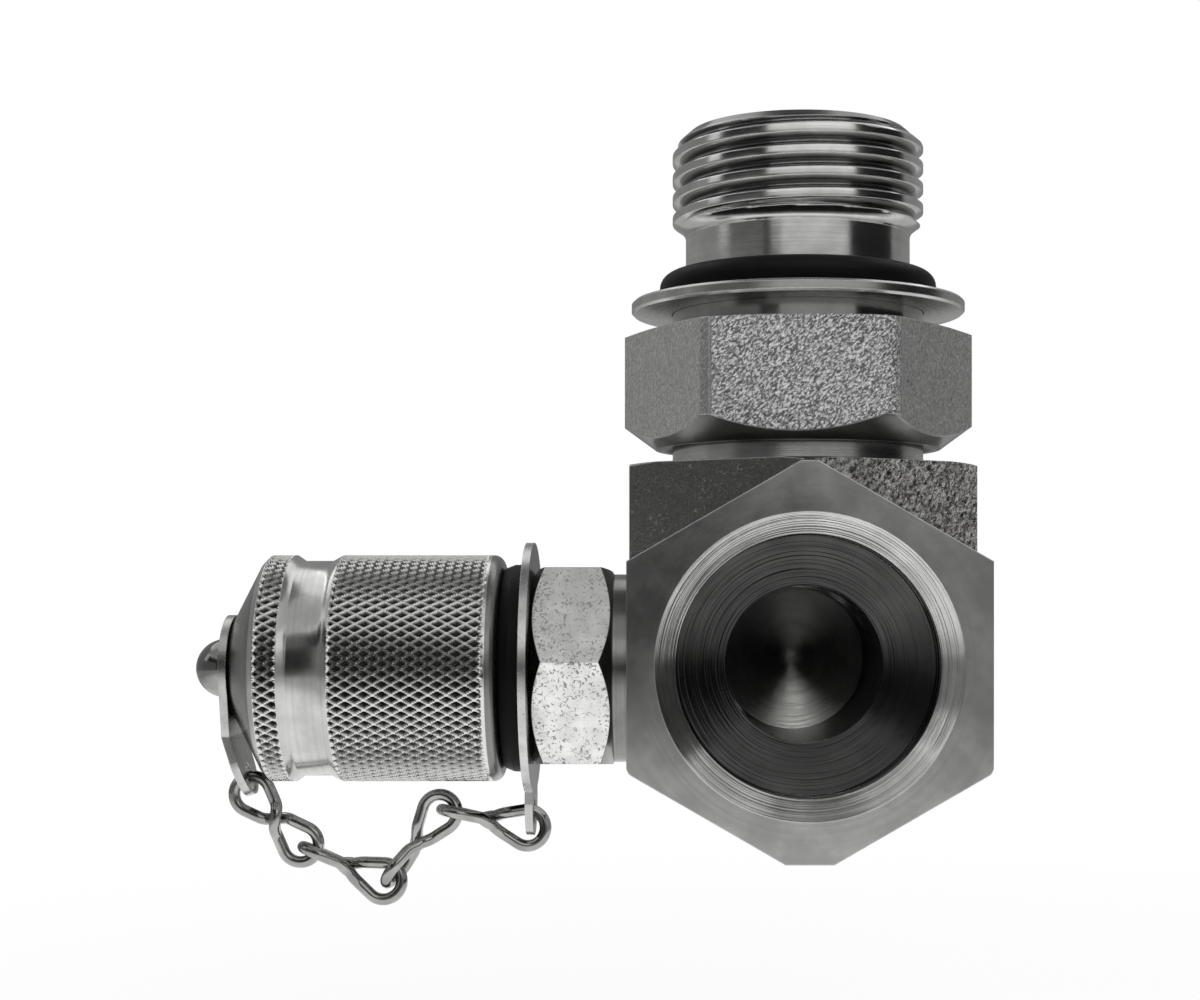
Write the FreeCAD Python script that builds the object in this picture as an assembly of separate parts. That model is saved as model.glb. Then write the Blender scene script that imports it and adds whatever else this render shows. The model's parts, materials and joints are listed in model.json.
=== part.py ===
"""Elbow adapter with a screwed-in test point, its knurled cap and the cap's chain.

The stud stands up along +Z, the female port faces -Y and the test point lies along -X.
Heights in this file are measured from the test point's axis; the last step moves the
whole fitting so that the middle of the stud's thread is the origin. Lengths are in mm.
"""

import FreeCAD, Part
import math
import os

Vector = FreeCAD.Vector
X_AXIS = Vector(1, 0, 0)
Y_AXIS = Vector(0, 1, 0)
Z_AXIS = Vector(0, 0, 1)

# Clearances between pieces
running_gap = 0.05          # radial, where one piece turns or slides on another
seat_gap = 0.02             # where a fixed piece sits in its recess
past = 1.0                  # how far a cutting shape stands past a face
edge_break = 0.2            # small chamfer on turned edges

# Elbow block: two crossed hexagons of one width across flats
block_wall = 3.625          # from the stud to the middle of a flat
port_land = 0.526           # the port face stands out past the corners
back_cut = 1.474            # taken off the rear corners
block_top = 17.65           # shoulder under the stud
shoulder_inset = 1.174      # the corners fall away outside the turned shoulder
shoulder_fall = 14.4        # degrees, of the corners
port_rise = 0.65            # port axis above the test point's axis
keel_cut = 1.124            # flat on the lowest corner
block_corner = 0.8          # rounding of the long corners low on the sides

# Stud, 7/8-14 thread
stud_radius = 11.075
neck_length = 14.35         # from the shoulder to the undercut
undercut_depth = 1.175
undercut_length = 6.0
flare_step = 0.35           # the flare above the undercut starts with a steep step
flare_rise = 0.7
flare_length = 1.2
thread_length = 6.7
tip_length = 1.3
tip_chamfer = 1.475
stud_bore_radius = 6.2
bore_mouth_chamfer = 0.6

# Female port
port_thread_radius = 10.75
port_mouth_chamfer = 1.7
port_thread_length = 3.6
port_cone_length = 2.6
port_bore_radius = 6.6
port_bore_end = 8.6         # behind the stud's axis, where the drill point starts
drill_half_angle = 59.0

# Hole that takes the test point
tapping_radius = 5.0
tapping_end = 4.4           # from the stud's axis

# Lock nut and its backup washer
nut_wall = 2.425            # from the stud to the middle of a flat
nut_gap = 1.65              # free neck under the nut
nut_height = 10.2
nut_turn = 3.35             # degrees, as it was left by the last quarter turn
nut_low_chamfer = 2.0
nut_low_inset = 0.9
nut_top_chamfer = 0.15
nut_corner_trim = 0.258     # turned off the sharp corners
nut_bore_chamfer = 0.85
washer_width = 3.625
washer_drop = 0.75          # its underside, below the undercut
washer_thickness = 1.05
washer_dish = 0.25
washer_dish_width = 1.4
o_ring_section = 2.5
o_ring_squeeze = 0.2        # stretched onto the undercut

# Test point
spigot_radius = 7.975
hex_wall = 0.525            # from the spigot to the middle of a flat
collar_inset = 0.2          # inside the hexagon's flats
collar_length = 1.45
coupling_hex_length = 7.1
coupling_hex_turn = 4.7     # degrees
coupling_hex_chamfer = 1.1
coupling_hex_inset = 0.3
landing_inset = 0.5         # inside the hexagon's flats
landing_length = 2.8
relief_depth = 1.1
relief_length = 5.6
cap_travel = 4.0            # two turns of the 2 mm pitch thread take the cap off
last_thread = 0.8           # still engaged after that travel
spigot_chamfer = 0.6
nose_step = 1.775           # from the spigot in to the nose
nose_length = 3.0
nose_chamfer = 0.5
root_thread_length = 7.6
root_end_chamfer = 0.7
seal_past_thread = 0.6      # its bore, outside the tapped hole
seal_width = 1.5
seal_thickness = 1.0

# Check valve inside the test point
flow_hole_radius = 2.0
valve_chamber_radius = 3.5
valve_seat_depth = 3.4      # nose wall in front of the chamber
valve_throat_radius = 1.75
poppet_play = 0.3           # radial, for the oil that flows past it
poppet_stem_recess = 0.4
poppet_head_length = 2.6
poppet_tail_radius = 1.5
poppet_tail_length = 3.0
poppet_travel = 1.5
poppet_room = 6.56          # left behind the pushed poppet, for the closed spring
poppet_seal_section = 0.9
poppet_chamfer = 0.3
throat_chamfer = 0.5
spring_wire = 0.55
spring_coils = 6.0
retainer_length = 2.4
retainer_hole_radius = 1.3

# Ring washer with the tab that carries the chain
ring_past_cap = 1.1
ring_thickness = 0.7
tab_width = 6.0
tab_past_ring = 3.7
tab_hole_radius = 1.3
tab_hole_margin = 2.2       # hole centre from the tab's end

# Rubber dust ring
dust_over_flat = 0.65       # stands out past the hexagon's flats
dust_fall = 0.3             # lower at the cap

# Cap
cap_over_hex = 0.185        # stands out past the hexagon's corners
cap_barrel_length = 14.175
groove_depth = 0.5
groove_length = 2.6
flank_length = 0.9
rear_flank_length = 0.7
rear_corner = 0.5           # chamfer of the rear knurl's edge
rear_knurl_length = 2.5
cone_end_radius = 4.4
cone_length = 2.8
cap_rim_round = 0.9
cap_mouth_clearance = 0.6   # over the landing
cap_mouth_run = 0.3         # the mouth ends this far past the relief
cap_thread_run = 0.4
gasket_clearance = 0.3
gasket_hole_radius = 0.6
gasket_thickness = 1.4

# Rivet and strap
rivet_shank_radius = 1.4
rivet_shank_depth = 4.5
rivet_head_radius = 2.575
rivet_head_height = 2.85
strap_thickness = 0.7
strap_end_radius = 4.7
strap_straight = 5.9
strap_lower_width = 6.4
strap_bend = 17.6           # degrees, towards the cap
strap_past_cap = 1.4        # length that reaches past the cap's side
strap_hole_radius = 1.3
strap_hole_margin = 1.55    # hole centre from the lower end

# Chain of twisted wire links
wire = 1.05
link_pitch = 8.1
link_gap = 0.2              # play between the wires of two links
eye_radius = 1.6
waist_radius = 0.62
first_slope = -46.0         # degrees, of the link that hangs from the strap
last_slope = -12.0          # degrees, of the link that hangs from the tab
link_rolls = (0.0, 82.0, 78.0, 84.0)     # degrees, first eye out of the chain's plane
link_twists = (0.0, 90.0, 90.0, 90.0)    # degrees, from the first eye to the second

# Sizes that follow from the ones above
block_flats = 2.0 * (stud_radius + block_wall)
block_corner_radius = block_flats / math.sqrt(3)
block_front = block_corner_radius + port_land
block_back = block_corner_radius - back_cut
keel_flat = block_corner_radius - keel_cut
shoulder_radius = block_corner_radius - shoulder_inset
reach = 2.0 * block_flats   # longer than any cut has to be
undercut_radius = stud_radius - undercut_depth
tip_radius = stud_radius - tip_chamfer
port_mouth_radius = port_thread_radius + port_mouth_chamfer
nut_flats = 2.0 * (stud_radius + nut_wall)
nut_corner_radius = nut_flats / math.sqrt(3) - nut_corner_trim
washer_radius = stud_radius + washer_width
coupling_flats = 2.0 * (spigot_radius + hex_wall)
collar_radius = 0.5 * coupling_flats - collar_inset
landing_radius = 0.5 * coupling_flats - landing_inset
nose_radius = spigot_radius - nose_step
o_ring_outer_radius = undercut_radius + o_ring_section - o_ring_squeeze
relief_radius = landing_radius - relief_depth
spigot_length = cap_travel + last_thread
seal_inner_radius = tapping_radius + seal_past_thread
seal_outer_radius = seal_inner_radius + seal_width
dust_radius = 0.5 * coupling_flats + dust_over_flat
cap_radius = coupling_flats / math.sqrt(3) + cap_over_hex
groove_radius = cap_radius - groove_depth
cap_mouth_radius = landing_radius + cap_mouth_clearance
gasket_radius = nose_radius - edge_break
ring_radius = cap_radius + ring_past_cap
tab_reach = ring_radius + tab_past_ring
tab_hole_drop = tab_reach - tab_hole_margin
strap_leg = cap_radius + strap_past_cap - strap_straight
poppet_stem_radius = valve_throat_radius - poppet_play
poppet_head_radius = valve_chamber_radius - poppet_play
chamber_length = (poppet_seal_section + 2 * seat_gap + poppet_head_length + poppet_tail_length
                  + poppet_travel + poppet_room + retainer_length)

# Heights up the stud, from the block's shoulder
nut_bottom = block_top + nut_gap
undercut_low = block_top + neck_length
undercut_high = undercut_low + undercut_length
washer_bottom = undercut_low - washer_drop
thread_low = undercut_high + flare_length
thread_high = thread_low + thread_length
stud_tip = thread_high + tip_length
origin_height = 0.5 * (thread_low + thread_high)     # half way along the stud's thread

# Places along the test point, worked outwards from the block's left flat
collar_face = -0.5 * block_flats
hex_face = collar_face - collar_length
ring_face = hex_face - coupling_hex_length
landing_end = ring_face - landing_length
relief_end = landing_end - relief_length
spigot_end = relief_end - spigot_length
nose_end = spigot_end - nose_length
cap_rim = landing_end + 2.0 * running_gap
groove_start = cap_rim - cap_barrel_length - flank_length
groove_finish = groove_start - groove_length
rear_start = groove_finish - rear_flank_length
rear_end = rear_start - rear_knurl_length
cap_end = rear_end - cone_length
chamber_start = nose_end + valve_seat_depth
chamber_end = chamber_start + chamber_length
strap_front = cap_end - running_gap
strap_back = strap_front - strap_thickness
rivet_seat = strap_back - running_gap


def revolve_about(points, axis, base=Vector(0, 0, 0)):
    """A turned piece: its half profile, the corners of a closed outline, swept once round an axis."""
    outline = Part.makePolygon(list(points) + [points[0]])
    return Part.Face(outline).revolve(base, axis, 360)


def turned_on_z(profile):
    """A piece turned about Z, from (radius, height) pairs."""
    return revolve_about([Vector(r, 0, z) for r, z in profile], Z_AXIS)


def turned_on_x(profile):
    """A piece turned about X, from (place along X, radius) pairs."""
    return revolve_about([Vector(x, 0, r) for x, r in profile], X_AXIS)


def hexagon(flats, centre, first_axis, second_axis, turn=0.0):
    """A hexagonal face, with a corner on the first axis before it is turned."""
    corner = flats / math.sqrt(3)
    points = []
    for index in range(7):
        angle = math.radians(60 * index + turn)
        offset = first_axis * (corner * math.cos(angle)) + second_axis * (corner * math.sin(angle))
        points.append(centre + offset)
    return Part.Face(Part.makePolygon(points))


def ring_on_x(start, end, inner, outer):
    """A plain ring between two places along X."""
    return turned_on_x([(start, inner), (start, outer), (end, outer), (end, inner)])


def edges_round_x(shape, place, radius):
    """The round edges of a turned piece at one place along X and of one radius."""
    found = []
    for edge in shape.Edges:
        curve = edge.Curve
        if not isinstance(curve, Part.Circle):
            continue
        if abs(curve.Center.x - place) < 0.01 and abs(curve.Radius - radius) < 0.01:
            found.append(edge)
    return found


def rounded_block():
    """The forged block: a hexagon along the port, crossed by a hexagon up to the stud's turned shoulder."""
    along_port = hexagon(block_flats, Vector(0, -block_front, port_rise), Z_AXIS, X_AXIS)
    block = along_port.extrude(Vector(0, block_front + block_back, 0))
    upright = hexagon(block_flats, Vector(0, 0, port_rise), Y_AXIS, X_AXIS)
    column = upright.extrude(Vector(0, 0, block_top - port_rise))
    behind = Part.makeBox(reach, reach, reach, Vector(-0.5 * reach, block_back, -0.5 * reach))
    block = block.fuse(column.cut(behind))
    above = Part.makeBox(reach, reach, reach, Vector(-0.5 * reach, -0.5 * reach, block_top))
    below = Part.makeBox(reach, reach, reach, Vector(-0.5 * reach, -0.5 * reach, port_rise - keel_flat - reach))
    fall = (reach - shoulder_radius) * math.tan(math.radians(shoulder_fall))
    corners = turned_on_z([
        (shoulder_radius, block_top + past),
        (reach, block_top + past),
        (reach, block_top - fall),
        (shoulder_radius, block_top),
    ])
    return block.cut([above, below, corners]).removeSplitter()


def side_corners(block):
    """The two long corners low on the block's left and right, which the forging rounds."""
    corners = []
    low = port_rise - 0.5 * block_flats / math.sqrt(3)
    for edge in block.Edges:
        box = edge.BoundBox
        along_y = box.XLength < 0.01 and box.ZLength < 0.01
        at_side = abs(abs(box.Center.x) - 0.5 * block_flats) < 0.01
        if along_y and at_side and abs(box.Center.z - low) < 0.01:
            corners.append(edge)
    return corners


def stud_outline():
    """The stud: plain neck, undercut for the seal, thread and chamfered tip."""
    return turned_on_z([
        (0, block_top - past),
        (stud_radius, block_top - past),
        (stud_radius, undercut_low),
        (undercut_radius, undercut_low + edge_break),
        (undercut_radius, undercut_high),
        (undercut_radius + flare_step, undercut_high + flare_rise),
        (stud_radius, thread_low),
        (stud_radius, thread_high),
        (tip_radius, stud_tip),
        (0, stud_tip),
    ])


def elbow_hollow():
    """The drilled passages: down the stud, in from the port, and the tapped hole on the left."""
    down = turned_on_z([
        (0, port_rise),
        (stud_bore_radius, port_rise),
        (stud_bore_radius, stud_tip - bore_mouth_chamfer),
        (stud_bore_radius + bore_mouth_chamfer, stud_tip),
        (stud_bore_radius + bore_mouth_chamfer, stud_tip + past),
        (0, stud_tip + past),
    ])
    thread_start = -block_front + port_mouth_chamfer
    thread_end = thread_start + port_thread_length
    bore_start = thread_end + port_cone_length
    drill_depth = port_bore_radius / math.tan(math.radians(drill_half_angle))
    profile = [
        (0, -block_front - past),
        (port_mouth_radius, -block_front - past),
        (port_mouth_radius, -block_front),
        (port_thread_radius, thread_start),
        (port_thread_radius, thread_end),
        (port_bore_radius, bore_start),
        (port_bore_radius, port_bore_end),
        (0, port_bore_end + drill_depth),
    ]
    centre = Vector(0, 0, port_rise)
    port = revolve_about([Vector(r, y, port_rise) for r, y in profile], Y_AXIS, centre)
    tapped = Part.makeCylinder(tapping_radius + running_gap, -tapping_end - collar_face + past,
                               Vector(collar_face - past, 0, 0), X_AXIS)
    return down.fuse([port, tapped])


def elbow_body():
    """One machined forging: block and stud, with its passages."""
    block = rounded_block()
    block = block.makeFillet(block_corner, side_corners(block))
    return block.fuse(stud_outline()).cut(elbow_hollow()).removeSplitter()


def lock_nut():
    """The hexagon nut on the stud, chamfered at both ends."""
    top = nut_bottom + nut_height
    base = hexagon(nut_flats, Vector(0, 0, nut_bottom), Y_AXIS, X_AXIS, 30.0 + nut_turn)
    prism = base.extrude(Vector(0, 0, nut_height))
    flat_radius = 0.5 * nut_flats
    envelope = turned_on_z([
        (0, nut_bottom),
        (flat_radius - nut_low_inset, nut_bottom),
        (nut_corner_radius, nut_bottom + nut_low_chamfer),
        (nut_corner_radius, top - nut_top_chamfer),
        (flat_radius + edge_break, top),
        (0, top),
    ])
    thread = stud_radius + running_gap
    mouth = thread + nut_bore_chamfer
    bore = turned_on_z([
        (0, nut_bottom - past),
        (mouth, nut_bottom - past),
        (mouth, nut_bottom),
        (thread, nut_bottom + nut_bore_chamfer),
        (thread, top - nut_bore_chamfer),
        (mouth, top),
        (mouth, top + past),
        (0, top + past),
    ])
    return prism.common(envelope).cut(bore)


def backup_washer():
    """The thin washer under the seal, slightly dished towards it."""
    top = washer_bottom + washer_thickness
    inner = stud_radius + running_gap
    return turned_on_z([
        (inner, washer_bottom),
        (washer_radius - edge_break, washer_bottom),
        (washer_radius, washer_bottom + edge_break),
        (washer_radius, top - edge_break),
        (washer_radius - edge_break, top),
        (inner + washer_dish_width, top - washer_dish),
        (inner, top - washer_dish),
    ])


def stud_o_ring():
    """The seal in the undercut, sitting on the washer."""
    centre_radius = o_ring_outer_radius - 0.5 * o_ring_section
    half_height = 0.5 * o_ring_section
    seat = washer_bottom + washer_thickness + seat_gap
    ring = Part.makeTorus(centre_radius, half_height, Vector(0, 0, seat + half_height), Z_AXIS)
    core = Part.makeCylinder(undercut_radius + seat_gap, reach, Vector(0, 0, 0), Z_AXIS)
    return ring.cut(core)


def test_coupling():
    """The test point: root thread, collar, hexagon, landing, cap thread and nose, bored for its valve."""
    root_end = collar_face + root_thread_length
    tip = turned_on_x([
        (root_end, 0),
        (root_end, tapping_radius - root_end_chamfer),
        (root_end - root_end_chamfer, tapping_radius),
        (collar_face, tapping_radius),
        (collar_face, collar_radius),
        (hex_face, collar_radius),
        (hex_face, landing_radius),
        (landing_end, landing_radius),
        (landing_end - 2.0 * edge_break, relief_radius),
        (relief_end, relief_radius),
        (relief_end - spigot_chamfer, spigot_radius),
        (spigot_end + spigot_chamfer, spigot_radius),
        (spigot_end, nose_radius + 2.0 * edge_break),
        (spigot_end, nose_radius),
        (nose_end + nose_chamfer, nose_radius),
        (nose_end, nose_radius - nose_chamfer),
        (nose_end, 0),
    ])
    base = hexagon(coupling_flats, Vector(ring_face, 0, 0), Y_AXIS, Z_AXIS, -coupling_hex_turn)
    prism = base.extrude(Vector(coupling_hex_length, 0, 0))
    corner = coupling_flats / math.sqrt(3)
    flat_radius = 0.5 * coupling_flats
    envelope = turned_on_x([
        (hex_face, 0),
        (hex_face, flat_radius - coupling_hex_inset),
        (hex_face - coupling_hex_chamfer, corner),
        (ring_face + coupling_hex_chamfer, corner),
        (ring_face, flat_radius - coupling_hex_inset),
        (ring_face, 0),
    ])
    throat_end = chamber_start - (valve_chamber_radius - valve_throat_radius)
    hollow = turned_on_x([
        (nose_end - past, 0),
        (nose_end - past, valve_throat_radius + throat_chamfer),
        (nose_end, valve_throat_radius + throat_chamfer),
        (nose_end + throat_chamfer, valve_throat_radius),
        (throat_end, valve_throat_radius),
        (chamber_start, valve_chamber_radius),
        (chamber_end, valve_chamber_radius),
        (chamber_end, flow_hole_radius),
        (root_end + past, flow_hole_radius),
        (root_end + past, 0),
    ])
    groove = ring_on_x(collar_face + seat_gap, collar_face - seal_thickness - seat_gap,
                       seal_inner_radius - seat_gap, seal_outer_radius + seat_gap)
    return tip.fuse(prism.common(envelope)).cut(hollow).cut(groove).removeSplitter()


def coupling_seal():
    """The soft seal in the collar's face, against the block."""
    front = collar_face - seat_gap
    back = collar_face - seal_thickness
    return turned_on_x([
        (front, seal_inner_radius + edge_break),
        (front, seal_outer_radius - edge_break),
        (front - edge_break, seal_outer_radius),
        (back + edge_break, seal_outer_radius),
        (back, seal_outer_radius - edge_break),
        (back, seal_inner_radius + edge_break),
        (back + edge_break, seal_inner_radius),
        (front - edge_break, seal_inner_radius),
    ])


def poppet_places():
    """Where the poppet's head starts and ends along X, one seal behind the chamber's cone."""
    head_start = chamber_start + poppet_seal_section + 2 * seat_gap
    return head_start, head_start + poppet_head_length


def valve_poppet():
    """The poppet: a stem that stands in the nose, a head and a spigot for its spring."""
    head_start, head_end = poppet_places()
    neck = poppet_stem_radius
    return turned_on_x([
        (nose_end + poppet_stem_recess, 0),
        (nose_end + poppet_stem_recess, neck - poppet_chamfer),
        (nose_end + poppet_stem_recess + poppet_chamfer, neck),
        (head_start, neck),
        (head_start, poppet_head_radius),
        (head_end, poppet_head_radius),
        (head_end, poppet_tail_radius),
        (head_end + poppet_tail_length, poppet_tail_radius),
        (head_end + poppet_tail_length, 0),
    ])


def poppet_seal():
    """The small ring that the poppet presses on its seat."""
    head_start, _ = poppet_places()
    back = head_start - seat_gap
    inner = poppet_stem_radius + seat_gap
    return turned_on_x([
        (back, inner),
        (back, poppet_head_radius - 0.5 * edge_break),
        (back - poppet_chamfer, poppet_head_radius - 0.5 * edge_break),
        (back - poppet_seal_section, poppet_head_radius - poppet_chamfer - 2.0 * edge_break),
        (back - poppet_seal_section, inner),
    ])


def spring_retainer():
    """The drilled plug that the spring pushes against."""
    start = chamber_end - retainer_length
    return ring_on_x(start, chamber_end - seat_gap, retainer_hole_radius, valve_chamber_radius - seat_gap)


def valve_spring():
    """The closing spring, a wound wire between the poppet's head and the retainer."""
    _, head_end = poppet_places()
    coil_radius = poppet_tail_radius + 3.0 * running_gap + 0.5 * spring_wire
    start = head_end + 0.5 * spring_wire + seat_gap
    length = chamber_end - retainer_length - 0.5 * spring_wire - seat_gap - start
    helix = Part.makeHelix(length / spring_coils, length, coil_radius)
    section = Part.Wire(Part.makeCircle(0.5 * spring_wire, Vector(coil_radius, 0, 0), Y_AXIS))
    coil = Part.Wire(helix).makePipeShell([section], True, True)
    coil.rotate(Vector(0, 0, 0), Y_AXIS, 90)
    coil.translate(Vector(start, 0, 0))
    return coil


def chain_ring():
    """The ring washer behind the hexagon, with its tab hanging down and the tab's hole."""
    front = ring_face - seat_gap
    disc = Part.makeCylinder(ring_radius, ring_thickness, Vector(front, 0, 0), -X_AXIS)
    tab_end = 0.5 * tab_width
    tab = Part.makeBox(ring_thickness, tab_width, tab_reach - tab_end,
                       Vector(front - ring_thickness, -tab_end, -tab_reach + tab_end))
    foot = Part.makeCylinder(tab_end, ring_thickness, Vector(front, 0, -tab_reach + tab_end), -X_AXIS)
    bore = Part.makeCylinder(landing_radius + running_gap, 4 * ring_thickness,
                             Vector(front + ring_thickness, 0, 0), -X_AXIS)
    hole = Part.makeCylinder(tab_hole_radius, 4 * ring_thickness,
                             Vector(front + ring_thickness, 0, -tab_hole_drop), -X_AXIS)
    return disc.fuse([tab, foot]).cut(bore).cut(hole).removeSplitter()


def dust_ring():
    """The rubber ring between the tab's ring and the cap, a little lower at the cap."""
    front = ring_face - ring_thickness - 3 * seat_gap
    back = cap_rim + seat_gap
    middle = 0.5 * (front + back)
    inner = landing_radius + seat_gap
    return turned_on_x([
        (front, inner),
        (front, dust_radius - edge_break),
        (front - edge_break, dust_radius),
        (middle, dust_radius),
        (back + edge_break, dust_radius - dust_fall),
        (back, dust_radius - dust_fall - edge_break),
        (back, inner),
    ])


def cap_shell():
    """The cap: knurled barrel, grip groove, rear knurl and cone, with its thread and rivet hole."""
    outer = turned_on_x([
        (cap_rim, 0),
        (cap_rim, cap_radius),
        (groove_start + flank_length, cap_radius),
        (groove_start, groove_radius),
        (groove_finish, groove_radius),
        (rear_start, cap_radius),
        (rear_end + rear_corner, cap_radius),
        (rear_end, cap_radius - rear_corner),
        (cap_end, cone_end_radius),
        (cap_end, 0),
    ])
    outer = outer.makeFillet(cap_rim_round, edges_round_x(outer, cap_rim, cap_radius))
    bore_radius = spigot_radius + running_gap
    thread_start = relief_end - cap_mouth_run
    pocket_radius = gasket_radius + gasket_clearance
    thread_end = spigot_end - cap_thread_run
    pocket_end = nose_end - running_gap - gasket_thickness
    hollow = turned_on_x([
        (cap_rim + past, 0),
        (cap_rim + past, cap_mouth_radius),
        (thread_start, cap_mouth_radius),
        (thread_start - (cap_mouth_radius - bore_radius), bore_radius),
        (thread_end, bore_radius),
        (thread_end, pocket_radius),
        (pocket_end, pocket_radius),
        (pocket_end, rivet_shank_radius + seat_gap),
        (cap_end - past, rivet_shank_radius + seat_gap),
        (cap_end - past, 0),
    ])
    return outer.cut(hollow)


def cap_gasket():
    """The soft disc inside the cap that closes on the nose."""
    front = nose_end - running_gap
    return ring_on_x(front, front - gasket_thickness + seat_gap, gasket_hole_radius, gasket_radius)


def cap_rivet():
    """The domed rivet that holds the strap on the cap."""
    sphere_radius = (rivet_head_radius ** 2 + rivet_head_height ** 2) / (2 * rivet_head_height)
    head = Part.makeSphere(sphere_radius, Vector(rivet_seat + sphere_radius - rivet_head_height, 0, 0))
    inside = Part.makeBox(reach, reach, reach, Vector(rivet_seat, -0.5 * reach, -0.5 * reach))
    shank = Part.makeCylinder(rivet_shank_radius, rivet_shank_depth + strap_thickness + 2 * running_gap,
                              Vector(rivet_seat, 0, 0), X_AXIS)
    return head.cut(inside).fuse(shank).removeSplitter()


def strap_hole_place():
    """Centre of the chain's hole in the strap."""
    angle = math.radians(strap_bend)
    along = strap_leg - strap_hole_margin
    middle = 0.5 * (strap_front + strap_back)
    return Vector(middle + along * math.sin(angle), 0, -strap_straight - along * math.cos(angle))


def cap_strap():
    """The flat strap on the rivet, bent towards the cap, with a hole for the chain at its end."""
    eye = Part.makeCylinder(strap_end_radius, strap_thickness, Vector(strap_front, 0, 0), -X_AXIS)
    half_low = 0.5 * strap_lower_width
    upper = Part.Face(Part.makePolygon([
        Vector(strap_front, -strap_end_radius, 0),
        Vector(strap_front, strap_end_radius, 0),
        Vector(strap_front, half_low, -strap_straight),
        Vector(strap_front, -half_low, -strap_straight),
        Vector(strap_front, -strap_end_radius, 0),
    ])).extrude(Vector(-strap_thickness, 0, 0))
    bend = Part.makeCylinder(strap_thickness, strap_lower_width,
                             Vector(strap_front, -half_low, -strap_straight), Y_AXIS)
    keep = Part.makeBox(strap_thickness, strap_lower_width, 2 * strap_thickness,
                        Vector(strap_back, -half_low, -strap_straight - 2 * strap_thickness))
    leg_length = strap_leg - half_low
    leg = Part.makeBox(strap_thickness, strap_lower_width, leg_length,
                       Vector(strap_back, -half_low, -strap_straight - leg_length))
    toe = Part.makeCylinder(half_low, strap_thickness,
                            Vector(strap_front, 0, -strap_straight - leg_length), -X_AXIS)
    hole = Part.makeCylinder(strap_hole_radius, reach,
                             Vector(strap_front + 0.5 * reach, 0, strap_hole_margin - strap_straight - strap_leg),
                             -X_AXIS)
    lower = leg.fuse(toe).cut(hole)
    lower.rotate(Vector(strap_front, 0, -strap_straight), Y_AXIS, -strap_bend)
    pivot = Part.makeCylinder(rivet_shank_radius + running_gap, reach,
                              Vector(0.5 * reach + strap_back, 0, 0), -X_AXIS)
    return eye.fuse([upper, bend.common(keep), lower]).cut(pivot).removeSplitter()


def teardrop(reach_out):
    """Centre line of one eye in the XZ plane, from the waist at the origin out along +X."""
    far = reach_out - eye_radius
    lean = math.asin((eye_radius - waist_radius) / far)
    top_far = Vector(far + -eye_radius * math.sin(lean), 0, eye_radius * math.cos(lean))
    top_near = Vector(-waist_radius * math.sin(lean), 0, waist_radius * math.cos(lean))
    low_far = Vector(top_far.x, 0, -top_far.z)
    low_near = Vector(top_near.x, 0, -top_near.z)
    end = Vector(far + eye_radius, 0, 0)
    waist = Vector(-waist_radius, 0, 0)
    return Part.Wire([
        Part.Arc(top_far, end, low_far).toShape(),
        Part.LineSegment(low_far, low_near).toShape(),
        Part.Arc(low_near, waist, top_near).toShape(),
        Part.LineSegment(top_near, top_far).toShape(),
    ]), end


def chain_eye(reach_out):
    """One closed eye of the wire."""
    path, end = teardrop(reach_out)
    section = Part.Wire(Part.makeCircle(0.5 * wire, end, Z_AXIS))
    return path.makePipeShell([section], True, True)


def straight_link(roll, twist):
    """A link along X, from the middle of its wire at one end to that at the other."""
    length = link_pitch + wire + link_gap
    near = chain_eye(0.5 * length)
    near.rotate(Vector(0, 0, 0), Z_AXIS, 180)
    far = chain_eye(0.5 * length)
    far.rotate(Vector(0, 0, 0), X_AXIS, twist)
    link = near.fuse(far)
    link.rotate(Vector(0, 0, 0), X_AXIS, roll)
    link.translate(Vector(0.5 * length, 0, 0))
    return link


def in_chain_plane(slope):
    """Unit vector in the XZ plane at a slope in degrees."""
    return Vector(math.cos(math.radians(slope)), 0, math.sin(math.radians(slope)))


def tab_hole_place():
    """Centre of the chain's hole in the tab."""
    return Vector(ring_face - seat_gap - 0.5 * ring_thickness, 0, -tab_hole_drop)


def chain_joints():
    """Where the wire of each link's first end has its middle, and the middle of the last link's far end.

    The first eye hangs round the strap's lower end and the last round the tab's, each with its
    wire through the hole; between them the chain sags freely.
    """
    leave = in_chain_plane(first_slope)
    arrive = in_chain_plane(last_slope)
    first_eye = strap_hole_place() + in_chain_plane(strap_bend - 90.0) * eye_radius
    last_eye = tab_hole_place() - in_chain_plane(last_slope + 90.0) * eye_radius
    first = first_eye - leave * eye_radius
    second = first + leave * link_pitch
    last = last_eye + arrive * eye_radius
    fourth = last - arrive * (link_pitch + wire + link_gap)
    across = fourth - second
    down = across.cross(Y_AXIS).normalize()
    if down.z > 0:
        down = down * -1
    sag = math.sqrt(link_pitch ** 2 - (0.5 * across.Length) ** 2)
    third = (second + fourth) * 0.5 + down * sag
    return [first, second, third, fourth, last]


def chain_links():
    """The links, each laid between its two joints."""
    joints = chain_joints()
    links = []
    for index, (roll, twist) in enumerate(zip(link_rolls, link_twists)):
        start = joints[index]
        along = joints[index + 1] - start
        link = straight_link(roll, twist)
        link.rotate(Vector(0, 0, 0), Y_AXIS, -math.degrees(math.atan2(along.z, along.x)))
        link.translate(start)
        links.append(link)
    return links


def save(name, shape):
    """Write one piece, with the fitting's origin moved to the middle of the stud's thread."""
    placed = shape.copy()
    placed.translate(Vector(0, 0, -origin_height))
    placed.exportStep(os.path.join("parts", name + ".step"))
    print(name, round(placed.Volume, 2), placed.isValid(), len(placed.Solids))


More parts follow.
